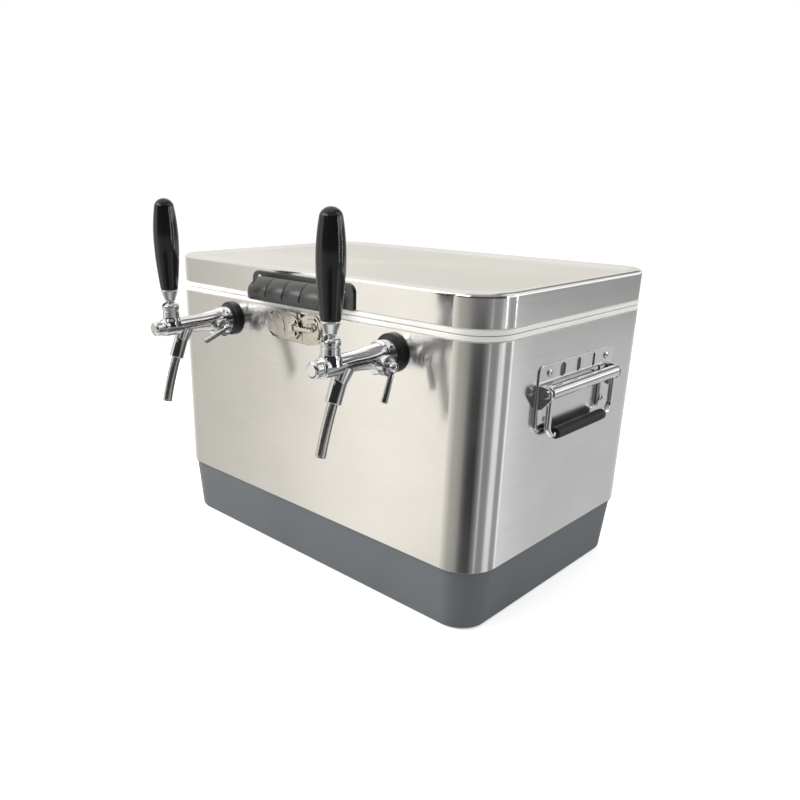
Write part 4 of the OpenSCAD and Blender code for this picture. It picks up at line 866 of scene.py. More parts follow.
def handleProfile():
    # belly by a quarter sine, shoulder by a softened quarter cosine, round top
    h = handleShape
    rise = np.linspace(0.03, h["bellyAt"], 22)
    fall = np.linspace(h["bellyAt"], 0.9, 20)[1:]
    tip = np.radians(np.linspace(4, 90, 12))
    low = h["foot"] + (h["belly"] - h["foot"]) * np.sin(math.pi / 2 * rise / h["bellyAt"])
    fade = np.cos(math.pi / 2 * (fall - h["bellyAt"]) / 0.36) ** 0.8
    high = h["shoulder"] + (h["belly"] - h["shoulder"]) * fade
    foot = np.array([(0, 0.1), (h["foot"] - 1.4, 0.1), (h["foot"] - 0.5, 0.4), (h["foot"], 1.2)])
    return np.concatenate([foot, np.column_stack([low, rise * h["long"]]),
                           np.column_stack([high, fall * h["long"]]),
                           np.column_stack([(h["shoulder"] + 0.5) * np.cos(tip),
                                            h["long"] * (0.9 + 0.1 * np.sin(tip))])])


tapPatches, grubPatches, spoutRoot, spoutDown = tapBodyPatches()


def tap(side):
    s = tapShape
    low, high = boxOf(side + "_flange")
    root = np.array([(low[0] + high[0]) / 2, wallY, (low[2] + high[2]) / 2])
    pivot = joints[side + "_tap_lever_pull"] * (0, 1, 1) + root * (1, 0, 0)
    barrelEnd = wallY - boxOf(side + "_front_cap")[0][1] - s["capLong"]
    f = s["flangeThick"]
    r = s["flangeRadius"]
    flange = softCorners([(11.3, 0), (r - 0.6, 0), (r, 0.8), (r, 5), (r - 1.6, 6.2), (r - 4.2, 6.8),
                          (r - 5.2, f), (11.3, f), (11.3, 0)], [0.3, 0.3, 1.0, 1.0, 1.4, 0.9, 0], 5)
    addPiece(side + "Flange", [lathe(flange[:-1], root, forward, 96, True)], "box", "black_plastic",
             [side + "_flange"])
    addPiece(side + "TapBody", moved(tapPatches, root), "box", "chrome_plate", [side + "_tap_body"])
    addPiece(side + "GrubScrew", moved(grubPatches, root), "box", "black_plastic")

    cap, cr = barrelEnd, s["capRadius"]
    profile = softCorners([(0, cap - 3), (8.0, cap - 3), (8.0, cap - 0.2), (cr, cap - 0.1), (cr, cap + 2.2),
                           (cr - 0.5, cap + 2.6), (cr - 0.5, cap + 3.4), (cr, cap + 3.8), (cr, cap + 11.2),
                           (cr - 1, cap + 13.2), (cr - 3.2, cap + 14), (0, cap + 14)],
                          [0.2, 0.1, 0.4, 0.3, 0.2, 0.2, 0.3, 1.0, 1.2, 1.2], 4)
    addPiece(side + "FrontCap", [lathe(profile, root, forward, 80)], "box", "chrome_plate",
             [side + "_front_cap"])

    # curved nozzle: arc of a wide ring in the tap's upright plane
    slant, ring = math.radians(s["spoutSlant"]), s["nozzleRing"]
    tip = spoutRoot + spoutDown * s["spoutLong"]
    theta = np.linspace(slant + 8.0 / ring, slant - math.radians(s["nozzleBend"]), 40)
    out = -tip[1] + ring * (np.cos(theta) - math.cos(slant))
    lifted = tip[2] + ring * (np.sin(theta) - math.sin(slant))
    path = root + out[:, None] * forward + lifted[:, None] * upward
    ease = np.minimum(np.arange(40), np.arange(40)[::-1])
    radius = s["nozzleRadius"] - np.where(ease == 0, 0.35, 0.0)
    addPiece(side + "Nozzle", [tube(path, radius, 40, s["nozzleRadius"] - s["nozzleWall"])], "box",
             "tube_stainless", [side + "_nozzle"])

    # lever: tail, ball, stem and ferrule in one turned piece
    b, st = s["ballRadius"], s["stemRadius"]
    angle = np.linspace(-math.acos(s["tailRadius"] / b), math.acos(st / b), 22)
    e0, e1 = s["ferruleStart"], s["ferruleStart"] + s["ferruleLong"]
    head = softCorners([(st, e0 - 4), (st, e0), (s["ferruleLow"], e0), (s["ferruleLow"] + 0.2, e0 + 1.6),
                        (s["ferruleHigh"], e1 - 2.2), (s["ferruleHigh"], e1), (0, e1)],
                       [0.2, 0.7, 0.8, 0.8, 0.7], 4)
    profile = np.concatenate([[(0, -21.5), (s["tailRadius"] - 0.6, -21.5), (s["tailRadius"], -20.9)],
                              np.column_stack([b * np.cos(angle), b * np.sin(angle)]), head])
    addPiece(side + "Lever", [lathe(profile, pivot, upward, 72)], side + "_tap_lever", "chrome_plate",
             [side + "_lever"])
    addPiece(side + "TapHandle", [lathe(handleProfile(), pivot + upward * e1, upward, 96)],
             side + "_tap_lever", "handle_black", [side + "_tap_handle"])

    # flow control: pin in the hub, ball knob and a rod that thickens to a rounded end
    w = flowShape
    centre = joints[side + "_flow_turn"] * (0, 1, 1) + root * (1, 0, 0)
    lean = math.radians(w["slant"][side])
    rodWay = np.array([0, -math.cos(lean), -math.sin(lean)])
    knobAt = centre + sideways * w["knobOut"]
    angle = np.linspace(-90, 57, 24) * math.pi / 180
    rod = np.concatenate([np.column_stack([w["knob"] * np.cos(angle), w["knob"] * np.sin(angle)]),
                          softCorners([(w["thin"], 6.2), (w["thick"], w["long"] - 1.6),
                                       (w["thick"] - 0.6, w["long"]), (0, w["long"])],
                                      [1.4, 0.8], 5)])
    pin = softCorners([(0, 8), (w["pin"], 8), (w["pin"], w["knobOut"] - 6.5),
                       (w["pin"] - 0.9, w["knobOut"] - 5.6), (w["pin"] - 0.9, w["knobOut"]),
                       (0, w["knobOut"])], [0.3, 0.4, 0.3, 0], 4)
    addPiece(side + "FlowLever", [lathe(rod, knobAt, rodWay, 56), lathe(pin, centre, sideways, 48)],
             side + "_flow_control", "chrome_plate", [side + "_flow_lever"])


for side in ("left", "right"):
    tap(side)
print("taps ready")


# lid grip
gripShape = {"lipWide": 134, "lipLeft": 5, "endRun": 18, "out": 28.5, "top": 28, "drop": 2, "wall": 3,
             "pads": 4, "grooveDeep": 1.5, "grooveHalf": 0.62, "endSoft": 7, "endPower": 2.6, "endDrop": 0.34,
             "plateThick": 3, "plateRight": 3, "plateWide": 196, "plateHigh": 33, "cornerRadius": 12,
             "screwIn": 17, "screwDown": 9, "recess": 8.5}
gripZ = lidZ + 6


def lidGrip():
    g = gripShape
    half = g["lipWide"] / 2 + g["endRun"]
    pitch = g["lipWide"] / g["pads"]
    grooves = np.arange(1 - g["pads"] / 2, g["pads"] / 2) * pitch
    fine = np.array([-1.6, -1.1, -0.75, -0.45, -0.2, 0, 0.2, 0.45, 0.75, 1.1, 1.6])
    screws = np.array([-1, 1]) * (g["plateWide"] / 2 - g["screwIn"]) + g["plateRight"]
    x = np.unique(np.concatenate([np.linspace(-half, half, 150), (grooves[:, None] + fine).ravel()]))

    def skin(t):
        # section by angle from the wall over the crown to the lip, drawn in by t
        a = np.radians(np.linspace(88, 0, 40))
        rise = np.clip((90 - np.degrees(a)) / 10 + 0.35, 0, 1)
        outs = np.concatenate([[0.0], (g["out"] - t) * (0.16 + 0.84 * np.cos(a)) * rise,
                               g["out"] - t - 1.5 * np.linspace(0.12, 1, 8) ** 1.5])
        ups = np.concatenate([[g["top"] - t], (g["top"] - t - 5) * np.sin(a) + 5 * (1 - t / g["wall"]),
                              np.linspace(4.0, -g["drop"], 8) + (0 if t == 0 else 0.001)])
        if t > 0:
            ups[-8:] = np.linspace(ups[-9], -g["drop"], 9)[1:]
        # the ends round off in plan like a quarter of an ellipse, and the crown falls towards them
        end = (abs(x) - g["lipWide"] / 2 + g["endSoft"]) / (g["endRun"] + g["endSoft"] - t)
        end = np.clip(end, 0, 1)[None, :]
        y = outs[:, None] * np.sqrt(np.clip(1 - end ** g["endPower"], 0, 1))
        high = 1 - g["endDrop"] * end ** 2
        if t == 0:
            padded = np.clip(1 - (((x[None, :] / pitch + g["pads"] / 2) % 1 - 0.5) * 2) ** 2, 0, 1)
            onLip = np.clip((g["lipWide"] / 2 + 4 - abs(x)) / 8, 0, 1)[None, :]
            band = np.clip((ups[:, None] - 2.6) / 1.4, 0, 1)
            dip = np.exp(-((x[None, :] - grooves[:, None, None]) / g["grooveHalf"]) ** 2).sum(0)
            y = y + band * onLip * (1.1 * padded - 1.1 - g["grooveDeep"] * dip)
        centre = x[None, :] - g["lipLeft"]
        for sx in screws:
            away = np.hypot(centre - sx, ups[:, None] * high - (g["plateHigh"] - g["screwDown"]))
            y = y * np.clip((away - g["recess"] + 0.4) / 1.6, 0, 1)
        y = np.maximum(y, 0.3 * (t == 0))
        lift = np.where(ups[:, None] > 0, ups[:, None] * high, ups[:, None] + 0 * high)
        return np.stack([centre + 0 * y, wallY - y, gripZ + lift + 0 * y], -1)
    outer, inner = skin(0.0), skin(g["wall"])[::-1]
    inner[..., 1] = np.maximum(inner[..., 1], wallY - g["out"] + g["wall"])
    points = np.concatenate([outer, inner])
    rows, columns = points.shape[:2]
    ends = [np.arange(rows)[None, ::-1] * columns, np.arange(rows)[None, :] * columns + columns - 1]
    bulge = (points.reshape(-1, 3), [gridFaces(rows, columns, True, False)] + ends)
    w, h = g["plateWide"], g["plateHigh"]
    outline = roundedOutline((-w / 2, 0), (w / 2, h), [2, 2, g["cornerRadius"], g["cornerRadius"]], 10)
    plate = flatPlate([outline], g["plateThick"], 0.9, (g["plateRight"], wallY, gripZ), (1, 0, 0), (0, 0, 1))
    addPiece("lidGrip", [bulge, plate], "lid", "grip_plastic", ["lid_grip"], sharp=50)
    screwZ = gripZ + h - g["screwDown"]
    heads = [screwHead((sx, wallY - g["plateThick"], screwZ), forward, 4.2, 2.2) for sx in screws]
    addPiece("gripScrews", heads, "lid", "chrome_plate", ["grip_screws"])


lidGrip()
print("grip ready")


# catch
catchShape = {"x": -12.0, "thick": 1.6, "tongueOut": 1.8, "turnOut": 3.6, "pivot": 4.0, "disc": 16.0,
              "wingTip": 38, "wingHigh": 3.6, "eye": 5.2, "eyeRod": 1.6, "eyeUp": 3.6, "travel": 8.0,
              "slotRadius": 4.35, "padRadius": 17.7, "gasket": 0.5}
catchZ = (boxOf("catch_plate")[0][2] + boxOf("catch_plate")[1][2]) / 2
catchPlace = np.array([catchShape["x"], wallY, catchZ])


def arcSlot(middle, radius, start, end, width=1.5, steps=14):
    # outline of a narrow slot that follows an arc, angles in degrees
    a = np.radians(np.linspace(start, end, steps))
    ring = np.stack([np.cos(a), np.sin(a)], -1)
    return np.concatenate([middle + (radius + width / 2) * ring, middle + (radius - width / 2) * ring[::-1]])


def circle2(x, z, radius, steps=40):
    a = np.arange(steps) * 2 * math.pi / steps
    return np.column_stack([x + radius * np.cos(a), z + radius * np.sin(a)])


def catchParts():
    c = catchShape
    across, up = (1, 0, 0), (0, 0, 1)
    corners = [(-26, 19.4), (13.2, 19.4), (15.6, 13.6), (26, 20.3), (44, 20.3), (54.4, 10), (54.4, -7),
               (47, -17.5), (34, -20.3), (-12, -20.3), (-26, -19.6), (-46, -18.6), (-54.4, -8), (-54.4, 10),
               (-50.5, 15)]
    rounding = [9, 0.7, 0.5, 3, 9, 8, 9, 9, 8, 9, 12, 9, 10, 4, 3]
    left, right = np.array([-34.5, -0.8]), np.array([34.5, -0.8])
    gaps = [arcSlot(left, c["padRadius"], 212, 272, 2.7), arcSlot(left, c["padRadius"], 114, 136, 2.2),
            arcSlot(right, c["padRadius"], -32, 12, 2.7), arcSlot(right, c["padRadius"], 50, 70, 2.2),
            roundedOutline((17.1, -18.2), (17.9, 11.5), [0.39] * 4, 4)]
    plate = flatPlate([closedSoft(corners, rounding)] + gaps, c["thick"] - c["gasket"], 0.35,
                      catchPlace + forward * c["gasket"], across, up)
    pads = [lathe(softCorners([(c["padRadius"] - 1.2, 0.8), (c["padRadius"] - 2.0, 2.3), (0, 2.5)], [1.0], 5),
                  catchPlace + (x, 0, z), forward, 72) for x, z in (left, right)]
    post = lathe(softCorners([(0, 0), (c["pivot"], 0), (c["pivot"], 8.6), (c["pivot"] + 2.4, 8.6),
                              (c["pivot"] + 2.2, 9.6), (0, 9.8)],
                             [0, 0.2, 0.4, 1.0], 4), catchPlace, forward, 48)
    addPiece("catchPlate", [plate, post] + pads, "box", "nickel", ["catch_plate"])
    # painted shade: a black sheet between the plate and the wall whose only task is to make the plate's slots and
    # top notch look dark, as if in shadow
    behind = [(-26, 19.2), (26, 19.2), (44, 19.9), (54, 10), (54, -7), (47, -17), (34, -19.9), (-12, -19.9),
              (-26, -19.2), (-46, -18.2), (-54, -8), (-54, 10), (-50, 15)]
    gasket = flatPlate([closedSoft(behind, [9, 9, 9, 8, 9, 9, 8, 9, 12, 9, 10, 4, 3])], c["gasket"], 0.1,
                       catchPlace, across, up)
    addPiece("catchShadeBacking", [gasket], "box", "black_rubber")
    spots = [(c["x"] + sx * 45.5, wallY - 2.2, catchZ + sz * 9.5) for sx in (-1, 1) for sz in (-1, 1)]
    addPiece("catchRivets", [screwHead(p, forward, 3.0, 0.6, False, 36, 10) for p in spots], "box",
             "nickel", ["catch_rivets"])

    # sliding tongue with its slot and the hook at its top
    low, high, r = boxOf("catch_tongue")[0][2] - catchZ, 20.4, c["slotRadius"]
    slot = roundedOutline((-r, -c["travel"] - r), (r, r), [r - 0.01] * 4, 10)
    tongue = flatPlate([roundedOutline((-8.5, low), (8.5, high), [2, 2, 0.6, 0.6]), slot], c["thick"], 0.3,
                       catchPlace + forward * c["tongueOut"], across, up)
    hook = flatPlate([roundedOutline((-8.5, 0), (8.5, 3.4), [0.4, 0.4, 0.8, 0.8])], 1.6, 0.4,
                     catchPlace + forward * (c["tongueOut"] + 0.2) + (0, 0, high), across, (0, -1, 0))
    addPiece("catchTongue", [tongue, hook], "catch_slide", "nickel", ["catch_tongue"])
    washer = softCorners([(c["pivot"] + 0.2, 3.42), (c["disc"] - 3.2, 3.42), (c["disc"] - 3.2, 3.58),
                          (c["pivot"] + 0.2, 3.58), (c["pivot"] + 0.2, 3.42)], [0, 0, 0], 1)[:-1]
    addPiece("catchWasher", [lathe(washer, catchPlace, forward, 64, True)], "box", "black_plastic")

    # turning wing: pierced disc with a raised rim, boss, rounded bar and a wire eye at its tip
    out = c["turnOut"]
    holes = [circle2(0, 0, c["pivot"] + 0.3),
             closedSoft([(6.6, 5.0), (11.0, 5.0), (9.8, 11.0), (6.6, 10.4)], [1, 1, 1.6, 1.4]),
             closedSoft([(6.6, -5.0), (6.6, -10.4), (9.8, -11.0), (11.0, -5.0)], [1, 1.4, 1.6, 1])]
    disc = flatPlate([circle2(0, 0, c["disc"] - 0.6, 72)] + holes, 1.4, 0.35, catchPlace + forward * out,
                     across, up)
    rimIn, bossIn = c["disc"] - 2.2, c["pivot"] + 0.3
    rimLine = softCorners([(rimIn, out + 0.3), (c["disc"], out + 0.3), (c["disc"], out + 2.3),
                           (rimIn, out + 2.3), (rimIn, out + 0.3)], [0.8, 0.9, 0.9], 5)
    rim = lathe(rimLine[:-1], catchPlace, forward, 80, True)
    bossLine = softCorners([(bossIn, out + 0.5), (7.2, out + 0.5), (7.2, out + 3.6), (bossIn, out + 4.2),
                            (bossIn, out + 0.5)], [0.8, 0.9, 0.4], 5)
    boss = lathe(bossLine[:-1], catchPlace, forward, 56, True)
    t, h = c["wingTip"], c["wingHigh"]
    barLine = closedSoft([(4.8, -h), (t, -h + 0.6), (t + 3.5, 1.5), (t - 1, 2.4), (20, h - 0.8), (4.8, h)],
                         [0.8, 3, 2, 2, 8, 0.8], 8)
    bar = flatPlate([barLine], 3.2, 1.25, catchPlace + forward * (out + 1.0), across, up)
    a = np.linspace(0, 2 * math.pi, 49)[:-1]
    ring = np.column_stack([t - 1 + c["eye"] * np.cos(a), np.full(48, -out - 2.4),
                            c["eyeUp"] + c["eye"] * 0.82 * np.sin(a)])
    eye = ringTube(catchPlace + ring, c["eyeRod"], 16)
    addPiece("catchTurn", [disc, rim, boss, bar, eye], "catch_wing", "nickel", ["catch_turn"])


def ringTube(path, radius, sides):
    # round bar whose middle line closes on itself
    path = np.asarray(path, float)
    along = np.roll(path, -1, 0) - np.roll(path, 1, 0)
    along /= np.linalg.norm(along, axis=1)[:, None]
    flat = np.cross(path[len(path) // 4] - path[0], path[len(path) // 2] - path[0])
    flat /= np.linalg.norm(flat)
    side = np.cross(along, flat)
    a = np.arange(sides) * 2 * math.pi / sides
    outward = np.cos(a)[None, :, None] * side[:, None] + np.sin(a)[None, :, None] * flat
    points = path[:, None] + radius * outward
    return points.reshape(-1, 3), [gridFaces(len(path), sides, True)]


catchParts()
print("catch ready")


def lidStrike():
    low, high = boxOf("lid_strike")
    middle, half = (low[0] + high[0]) / 2, (high[0] - low[0]) / 2
    back = flatPlate([roundedOutline((-half, 0), (half, high[2] - low[2]), [0.5] * 4)], 1.5, 0.25,
                     (middle, wallY, low[2]), (1, 0, 0), (0, 0, 1))
    lip = flatPlate([roundedOutline((-half, 0.3), (half, wallY - low[1]), [0.4, 0.4, 1.4, 1.4])], 1.4, 0.3,
                    (middle, wallY, low[2]), (1, 0, 0), (0, -1, 0))
    lip = (lip[0] * (1, 1, -1) + (0, 0, 2 * low[2]), lip[1])
    addPiece("lidStrike", [back, lip], "lid", "nickel", ["lid_strike"])


# hinges
hingeShape = {"width": 70, "x": 190, "leaf": 2, "knuckle": 4.8, "pin": 2.5, "play": 0.3}


def hinges():
    h = hingeShape
    pinLow, pinHigh = boxOf("hinge_pins")
    knuckleY, knuckleZ = (pinLow[1] + pinHigh[1]) / 2, (pinLow[2] + pinHigh[2]) / 2
    bodyLow, lidHigh = boxOf("hinge_body_leaves")[0][2], boxOf("hinge_lid_leaves")[1][2]
    r, t, third = h["knuckle"], h["leaf"], h["width"] / 4
    across, up = (-1, 0, 0), (0, 0, 1)
    body, lid, pins = [], [], []
    for x in (-h["x"], h["x"]):
        place = np.array([x, halfDepth, 0.0])
        half = h["width"] / 2
        leaf = roundedOutline((-half, bodyLow), (half, knuckleZ - r - 1), [6, 6, 1, 1])
        body.append(flatPlate([leaf], t, 0.5, place, across, up))
        leaf = roundedOutline((-half, knuckleZ + r + 1), (half, lidHigh), [1, 1, 6, 6])
        lid.append(flatPlate([leaf], t, 0.5, place, across, up))
        knuckles = ((-half, -third - h["play"], body, -1), (third + h["play"], half, body, -1),
                    (-third, third, lid, 1))
        for x0, x1, group, way in knuckles:
            barrel = softCorners([(h["pin"] + 0.05, x0), (r, x0), (r, x1), (h["pin"] + 0.05, x1),
                                  (h["pin"] + 0.05, x0)],
                                 [0.6, 0.6, 0.2], 4)[:-1]
            group.append(lathe(barrel, (x, knuckleY, knuckleZ), sideways, 40, True))
            # curled arm from the leaf round to the barrel, as a section carried along the pin
            arm = closedSoft([(0.1, way * (r + 4)), (t, way * (r + 4)), (t + 0.3, way * (r - 0.6)),
                              (knuckleY - halfDepth, way * r),
                              (knuckleY - halfDepth, way * (h["pin"] + 0.4)), (0.1, way * 0.6)],
                             [0.3, 0.5, 1.2, 0.3, 0.3, 0.4], 4)
            n = len(arm)
            ends = [np.column_stack([np.full(n, x + e), halfDepth + arm[:, 0], knuckleZ + arm[:, 1]])
                    for e in (x0, x1)]
            group.append((np.concatenate(ends), [gridFaces(2, n), np.arange(n)[None, ::-1],
                                                 n + np.arange(n)[None, :]]))
        line = softCorners([(0, -half - 1.5), (h["pin"] + 1, -half - 1.5), (h["pin"] + 1, -half - 0.1),
                            (h["pin"], -half - 0.1), (h["pin"], half + 0.1), (h["pin"] + 1, half + 0.1),
                            (h["pin"] + 1, half + 1.5), (0, half + 1.5)],
                           [0.8, 0.1, 0, 0, 0.1, 0.8], 4)
        pins.append(lathe(line, (x, knuckleY, knuckleZ), sideways, 32))
    addPiece("hingeBodyLeaves", body, "box", "hinge_steel", ["hinge_body_leaves"])
    addPiece("hingeLidLeaves", lid, "lid", "hinge_steel", ["hinge_lid_leaves"])
    addPiece("hingePins", pins, "box", "hinge_steel", ["hinge_pins"])
    for node, name, rides in (("hinge_body_rivets", "hingeBodyRivets", "box"),
                              ("hinge_lid_rivets", "hingeLidRivets", "lid")):
        low, high = boxOf(node)
        spots = [(sx * x, halfDepth + t, (low[2] + high[2]) / 2) for sx in (-1, 1)
                 for x in (high[0] - 4, 2 * h["x"] - high[0] + 4)]
        addPiece(name, [screwHead(p, backward, 4, 1.6, False, 40, 10) for p in spots], rides, "hinge_steel",
                 [node])


lidStrike()
hinges()
print("strike and hinges ready")


# carrying handles
carryShape = {"plateWide": 186, "plateHigh": 81, "plateUp": 33, "legWide": 32, "thick": 2, "slotPitch": 39,
              "slotWides": (13, 9, 6), "slotHigh": 17, "sleeve": 8, "rod": 4, "bailWide": 160, "drop": 55,
              "corner": 15, "grip": 7.5, "gripLong": 121, "pin": 3, "earY": 88.5, "earThick": 2.5,
              "screwY": 71, "gasket": 0.5, "middleY": 3.0, "slotDown": 3.2}


def carryHandle(side, sign):
    c = carryShape
    middleY = c["middleY"]
    axle = joints[side + "_carry_swing"] * (1, 0, 1) + np.array([0, middleY, 0])
    axle[0] = abs(axle[0])
    z = axle[2]
    flip = mirrored if sign < 0 else (lambda patches: patches)
    top, bottom, w = c["plateUp"], c["plateUp"] - c["plateHigh"], c["plateWide"] / 2
    leg, sill = w - c["legWide"], c["sleeve"] + 3
    corners = [(-w, bottom), (-leg, bottom), (-leg, sill), (leg, sill), (leg, bottom), (w, bottom),
               (w, top), (-w, top)]
    outline = closedSoft(corners, [7, 6, 5, 5, 6, 7, 8, 8])
    slotTop = top - c["slotDown"]
    slots = [roundedOutline((k * c["slotPitch"] - wide / 2, slotTop - c["slotHigh"]),
                            (k * c["slotPitch"] + wide / 2, slotTop), [wide * 0.45] * 4)
             for k, wide in zip((-1, 0, 1), c["slotWides"])]
    plate = flatPlate([outline] + slots, c["thick"] - c["gasket"], 0.5,
                      (halfWidth + c["gasket"], middleY, z), (0, 1, 0), (0, 0, 1))
    behind = flatPlate([closedSoft([(p[0] * 0.997, p[1]) for p in corners], [7, 6, 5, 5, 6, 7, 8, 8])],
                       c["gasket"], 0.1, (halfWidth, middleY, z), (0, 1, 0), (0, 0, 1))
    addPiece(side + "HandleGasket", flip([behind]), "box", "grey_rubber")
    out = axle[0] - halfWidth
    ears = []
    for y in (-1, 1):
        shape = closedSoft([(0.5, -22), (7, -20), (out + 7, -6), (out + 7, 6), (0.5, 9.5)], [1, 3, 7, 7, 3])
        hole = np.column_stack([out + 3.1 * np.cos(np.linspace(0, 6.28, 30)[:-1]),
                                3.1 * np.sin(np.linspace(0, 6.28, 30)[:-1])])
        earPlace = (halfWidth, middleY + y * c["earY"] + c["earThick"] / 2, z)
        ears.append(flatPlate([shape, hole], c["earThick"], 0.6, earPlace, (1, 0, 0), (0, 0, 1)))
    addPiece(side + "HandlePlate", flip([plate] + ears), "box", "chrome_plate", [side + "_handle_plate"])

    reach, rod = c["bailWide"] / 2, c["rod"]
    sleeve = softCorners([(3.1, -reach - rod), (c["sleeve"], -reach - rod), (c["sleeve"], reach + rod),
                          (3.1, reach + rod), (3.1, reach - 4), (c["sleeve"] - 1.8, reach - 4),
                          (c["sleeve"] - 1.8, -reach + 4), (3.1, -reach + 4), (3.1, -reach - rod)],
                         [1.6, 1.6, 0, 0, 0, 0, 0], 5)[:-1]
    low = -c["drop"]
    bend = softCorners([(-reach, -3), (-reach, low), (reach, low), (reach, -3)], [c["corner"]] * 2, 12)
    line = np.column_stack([np.zeros(len(bend)), bend]) + (axle[0], middleY, z)
    bail = [lathe(sleeve, (axle[0], middleY, z), backward, 64, True), tube(line, rod, 28)]
    addPiece(side + "Bail", flip(bail), side + "_carry_handle", "chrome_plate", [side + "_bail"])

    # rubber grip: fine ribs round it and a smooth bead at each end
    half = c["gripLong"] / 2
    along = np.linspace(-half, half, 243)
    rib = 0.35 * (0.5 + 0.5 * np.cos(along * 2 * math.pi / 4.0)) * (abs(along) < half - 6)
    radius = c["grip"] - 0.35 + rib - 1.6 * np.clip((abs(along) - half + 1.2) / 1.2, 0, 1) ** 2
    profile = np.concatenate([[(rod + 0.1, -half)], np.column_stack([radius, along]), [(rod + 0.1, half)]])
    addPiece(side + "BailGrip", flip([lathe(profile, (axle[0], middleY, z + low), backward, 56, True)]),
             side + "_carry_handle", "black_rubber", [side + "_bail_grip"])
    return axle


heads, pins = [], []
for side, sign in (("left", -1), ("right", 1)):
    axle = carryHandle(side, sign)
    flip = mirrored if sign < 0 else (lambda patches: patches)
    c = carryShape
    spots = [(halfWidth + c["thick"], c["middleY"] + y * c["screwY"], axle[2] + dz) for y in (-1, 1)
             for dz in (c["plateUp"] - 11, c["plateUp"] - c["plateHigh"] + 12)]
    heads += flip([screwHead(p, sideways, 4.8, 2.6) for p in spots])
    end = c["earY"] + c["earThick"] / 2 + 0.1
    line = softCorners([(0, -end - 2), (5, -end - 2), (5, -end), (c["pin"], -end), (c["pin"], end),
                        (5, end), (5, end + 2), (0, end + 2)], [0.9, 0.2, 0, 0, 0.2, 0.9], 4)
    pins += flip([lathe(line, (axle[0], c["middleY"], axle[2]), backward, 40)])
addPiece("handleScrews", heads, "box", "chrome_plate", ["handle_screws"])
addPiece("handlePins", pins, "box", "chrome_plate", ["handle_pins"])
print("carrying handles ready")


# coils, shanks and nuts
coilShape = {"radius": 100, "tube": 4, "turns": 12.5, "rise": 10, "outletBend": 25, "inletBend": 20,
             "outletX": 32, "inletX": 50, "tailBack": 28}


def coilPath(inletZ, tapZ):
    # one coil about its own middle: back wall, down to the floor, upward helix, out through the front
    c = coilShape
    r, rise = c["radius"], c["rise"]
    z0 = boxOf("right_coil")[0][2] + c["tube"]
    z1 = z0 + rise * c["turns"]
    tailY = halfDepth - bodyShape["wall"] - c["tailBack"]
    quarter = np.radians(np.linspace(0, 90, 12))
    drop = np.column_stack([np.full(12, c["inletX"]), r + c["outletBend"] * (1 - np.sin(quarter)),
                            inletZ - c["outletBend"] * (1 - np.cos(quarter))])
    foot = np.column_stack([c["inletX"] - c["inletBend"] * (1 - np.cos(quarter)), np.full(12, r),
                            z0 + c["inletBend"] * (1 - np.sin(quarter))])
    turn = np.radians(90 + np.linspace(0, 360 * c["turns"], int(48 * c["turns"])))
    wind = np.column_stack([r * np.cos(turn), r * np.sin(turn),
                            z0 + rise * (turn - math.pi / 2) / (2 * math.pi)])
    lift = np.column_stack([c["outletX"] - c["outletBend"] * (1 - np.sin(quarter)), np.full(12, -r),
                            z1 + c["outletBend"] * (1 - np.cos(quarter))])
    leave = np.column_stack([np.full(12, c["outletX"]), -r - c["outletBend"] * (1 - np.cos(quarter)),
                             tapZ - c["outletBend"] * (1 - np.sin(quarter))])
    path = np.concatenate([[(c["inletX"], tailY, inletZ)], drop, foot, wind, lift, leave,
                           [(c["outletX"], -tailY, tapZ)]])
    keep = np.concatenate([[True], np.linalg.norm(np.diff(path, axis=0), axis=1) > 0.3])
    return path[keep]


fittingShape = {"shank": 11, "bore": 4, "thread": 18, "neck": 8, "neckFrom": 12, "neckTo": 28, "tapReach": 21,
                "inletReach": 10, "tailRadius": 10.5, "tailLong": 17, "tailFrom": 8, "nutHole": 11.05,
                "lockHigh": 8, "lockCorner": 18, "coilHigh": 17.5, "coilCorner": 13, "coilHole": 4.3,
                "coilFrom": 14.5, "washerHole": 11.3, "washer": 21, "washerThick": 2}


def shankBars(start, way, reach):
    # thread for the locknut inside the wall, plain bar through the wall, neck that the coil nut holds
    p, wall = fittingShape, bodyShape["wall"]
    through = [(p["bore"], -reach), (p["shank"], -reach), (p["shank"], wall - 2), (p["bore"], wall - 2)]
    neckFrom, neckTo = wall + p["neckFrom"], wall + p["neckTo"]
    neck = [(p["bore"], neckFrom), (p["neck"], neckFrom), (p["neck"], neckTo), (p["bore"], neckTo)]
    return [threadTube(start + way * (wall - 4), way, p["shank"], p["thread"], p["bore"]),
            lathe(through, start, way, 48, True), lathe(neck, start, way, 48, True)]


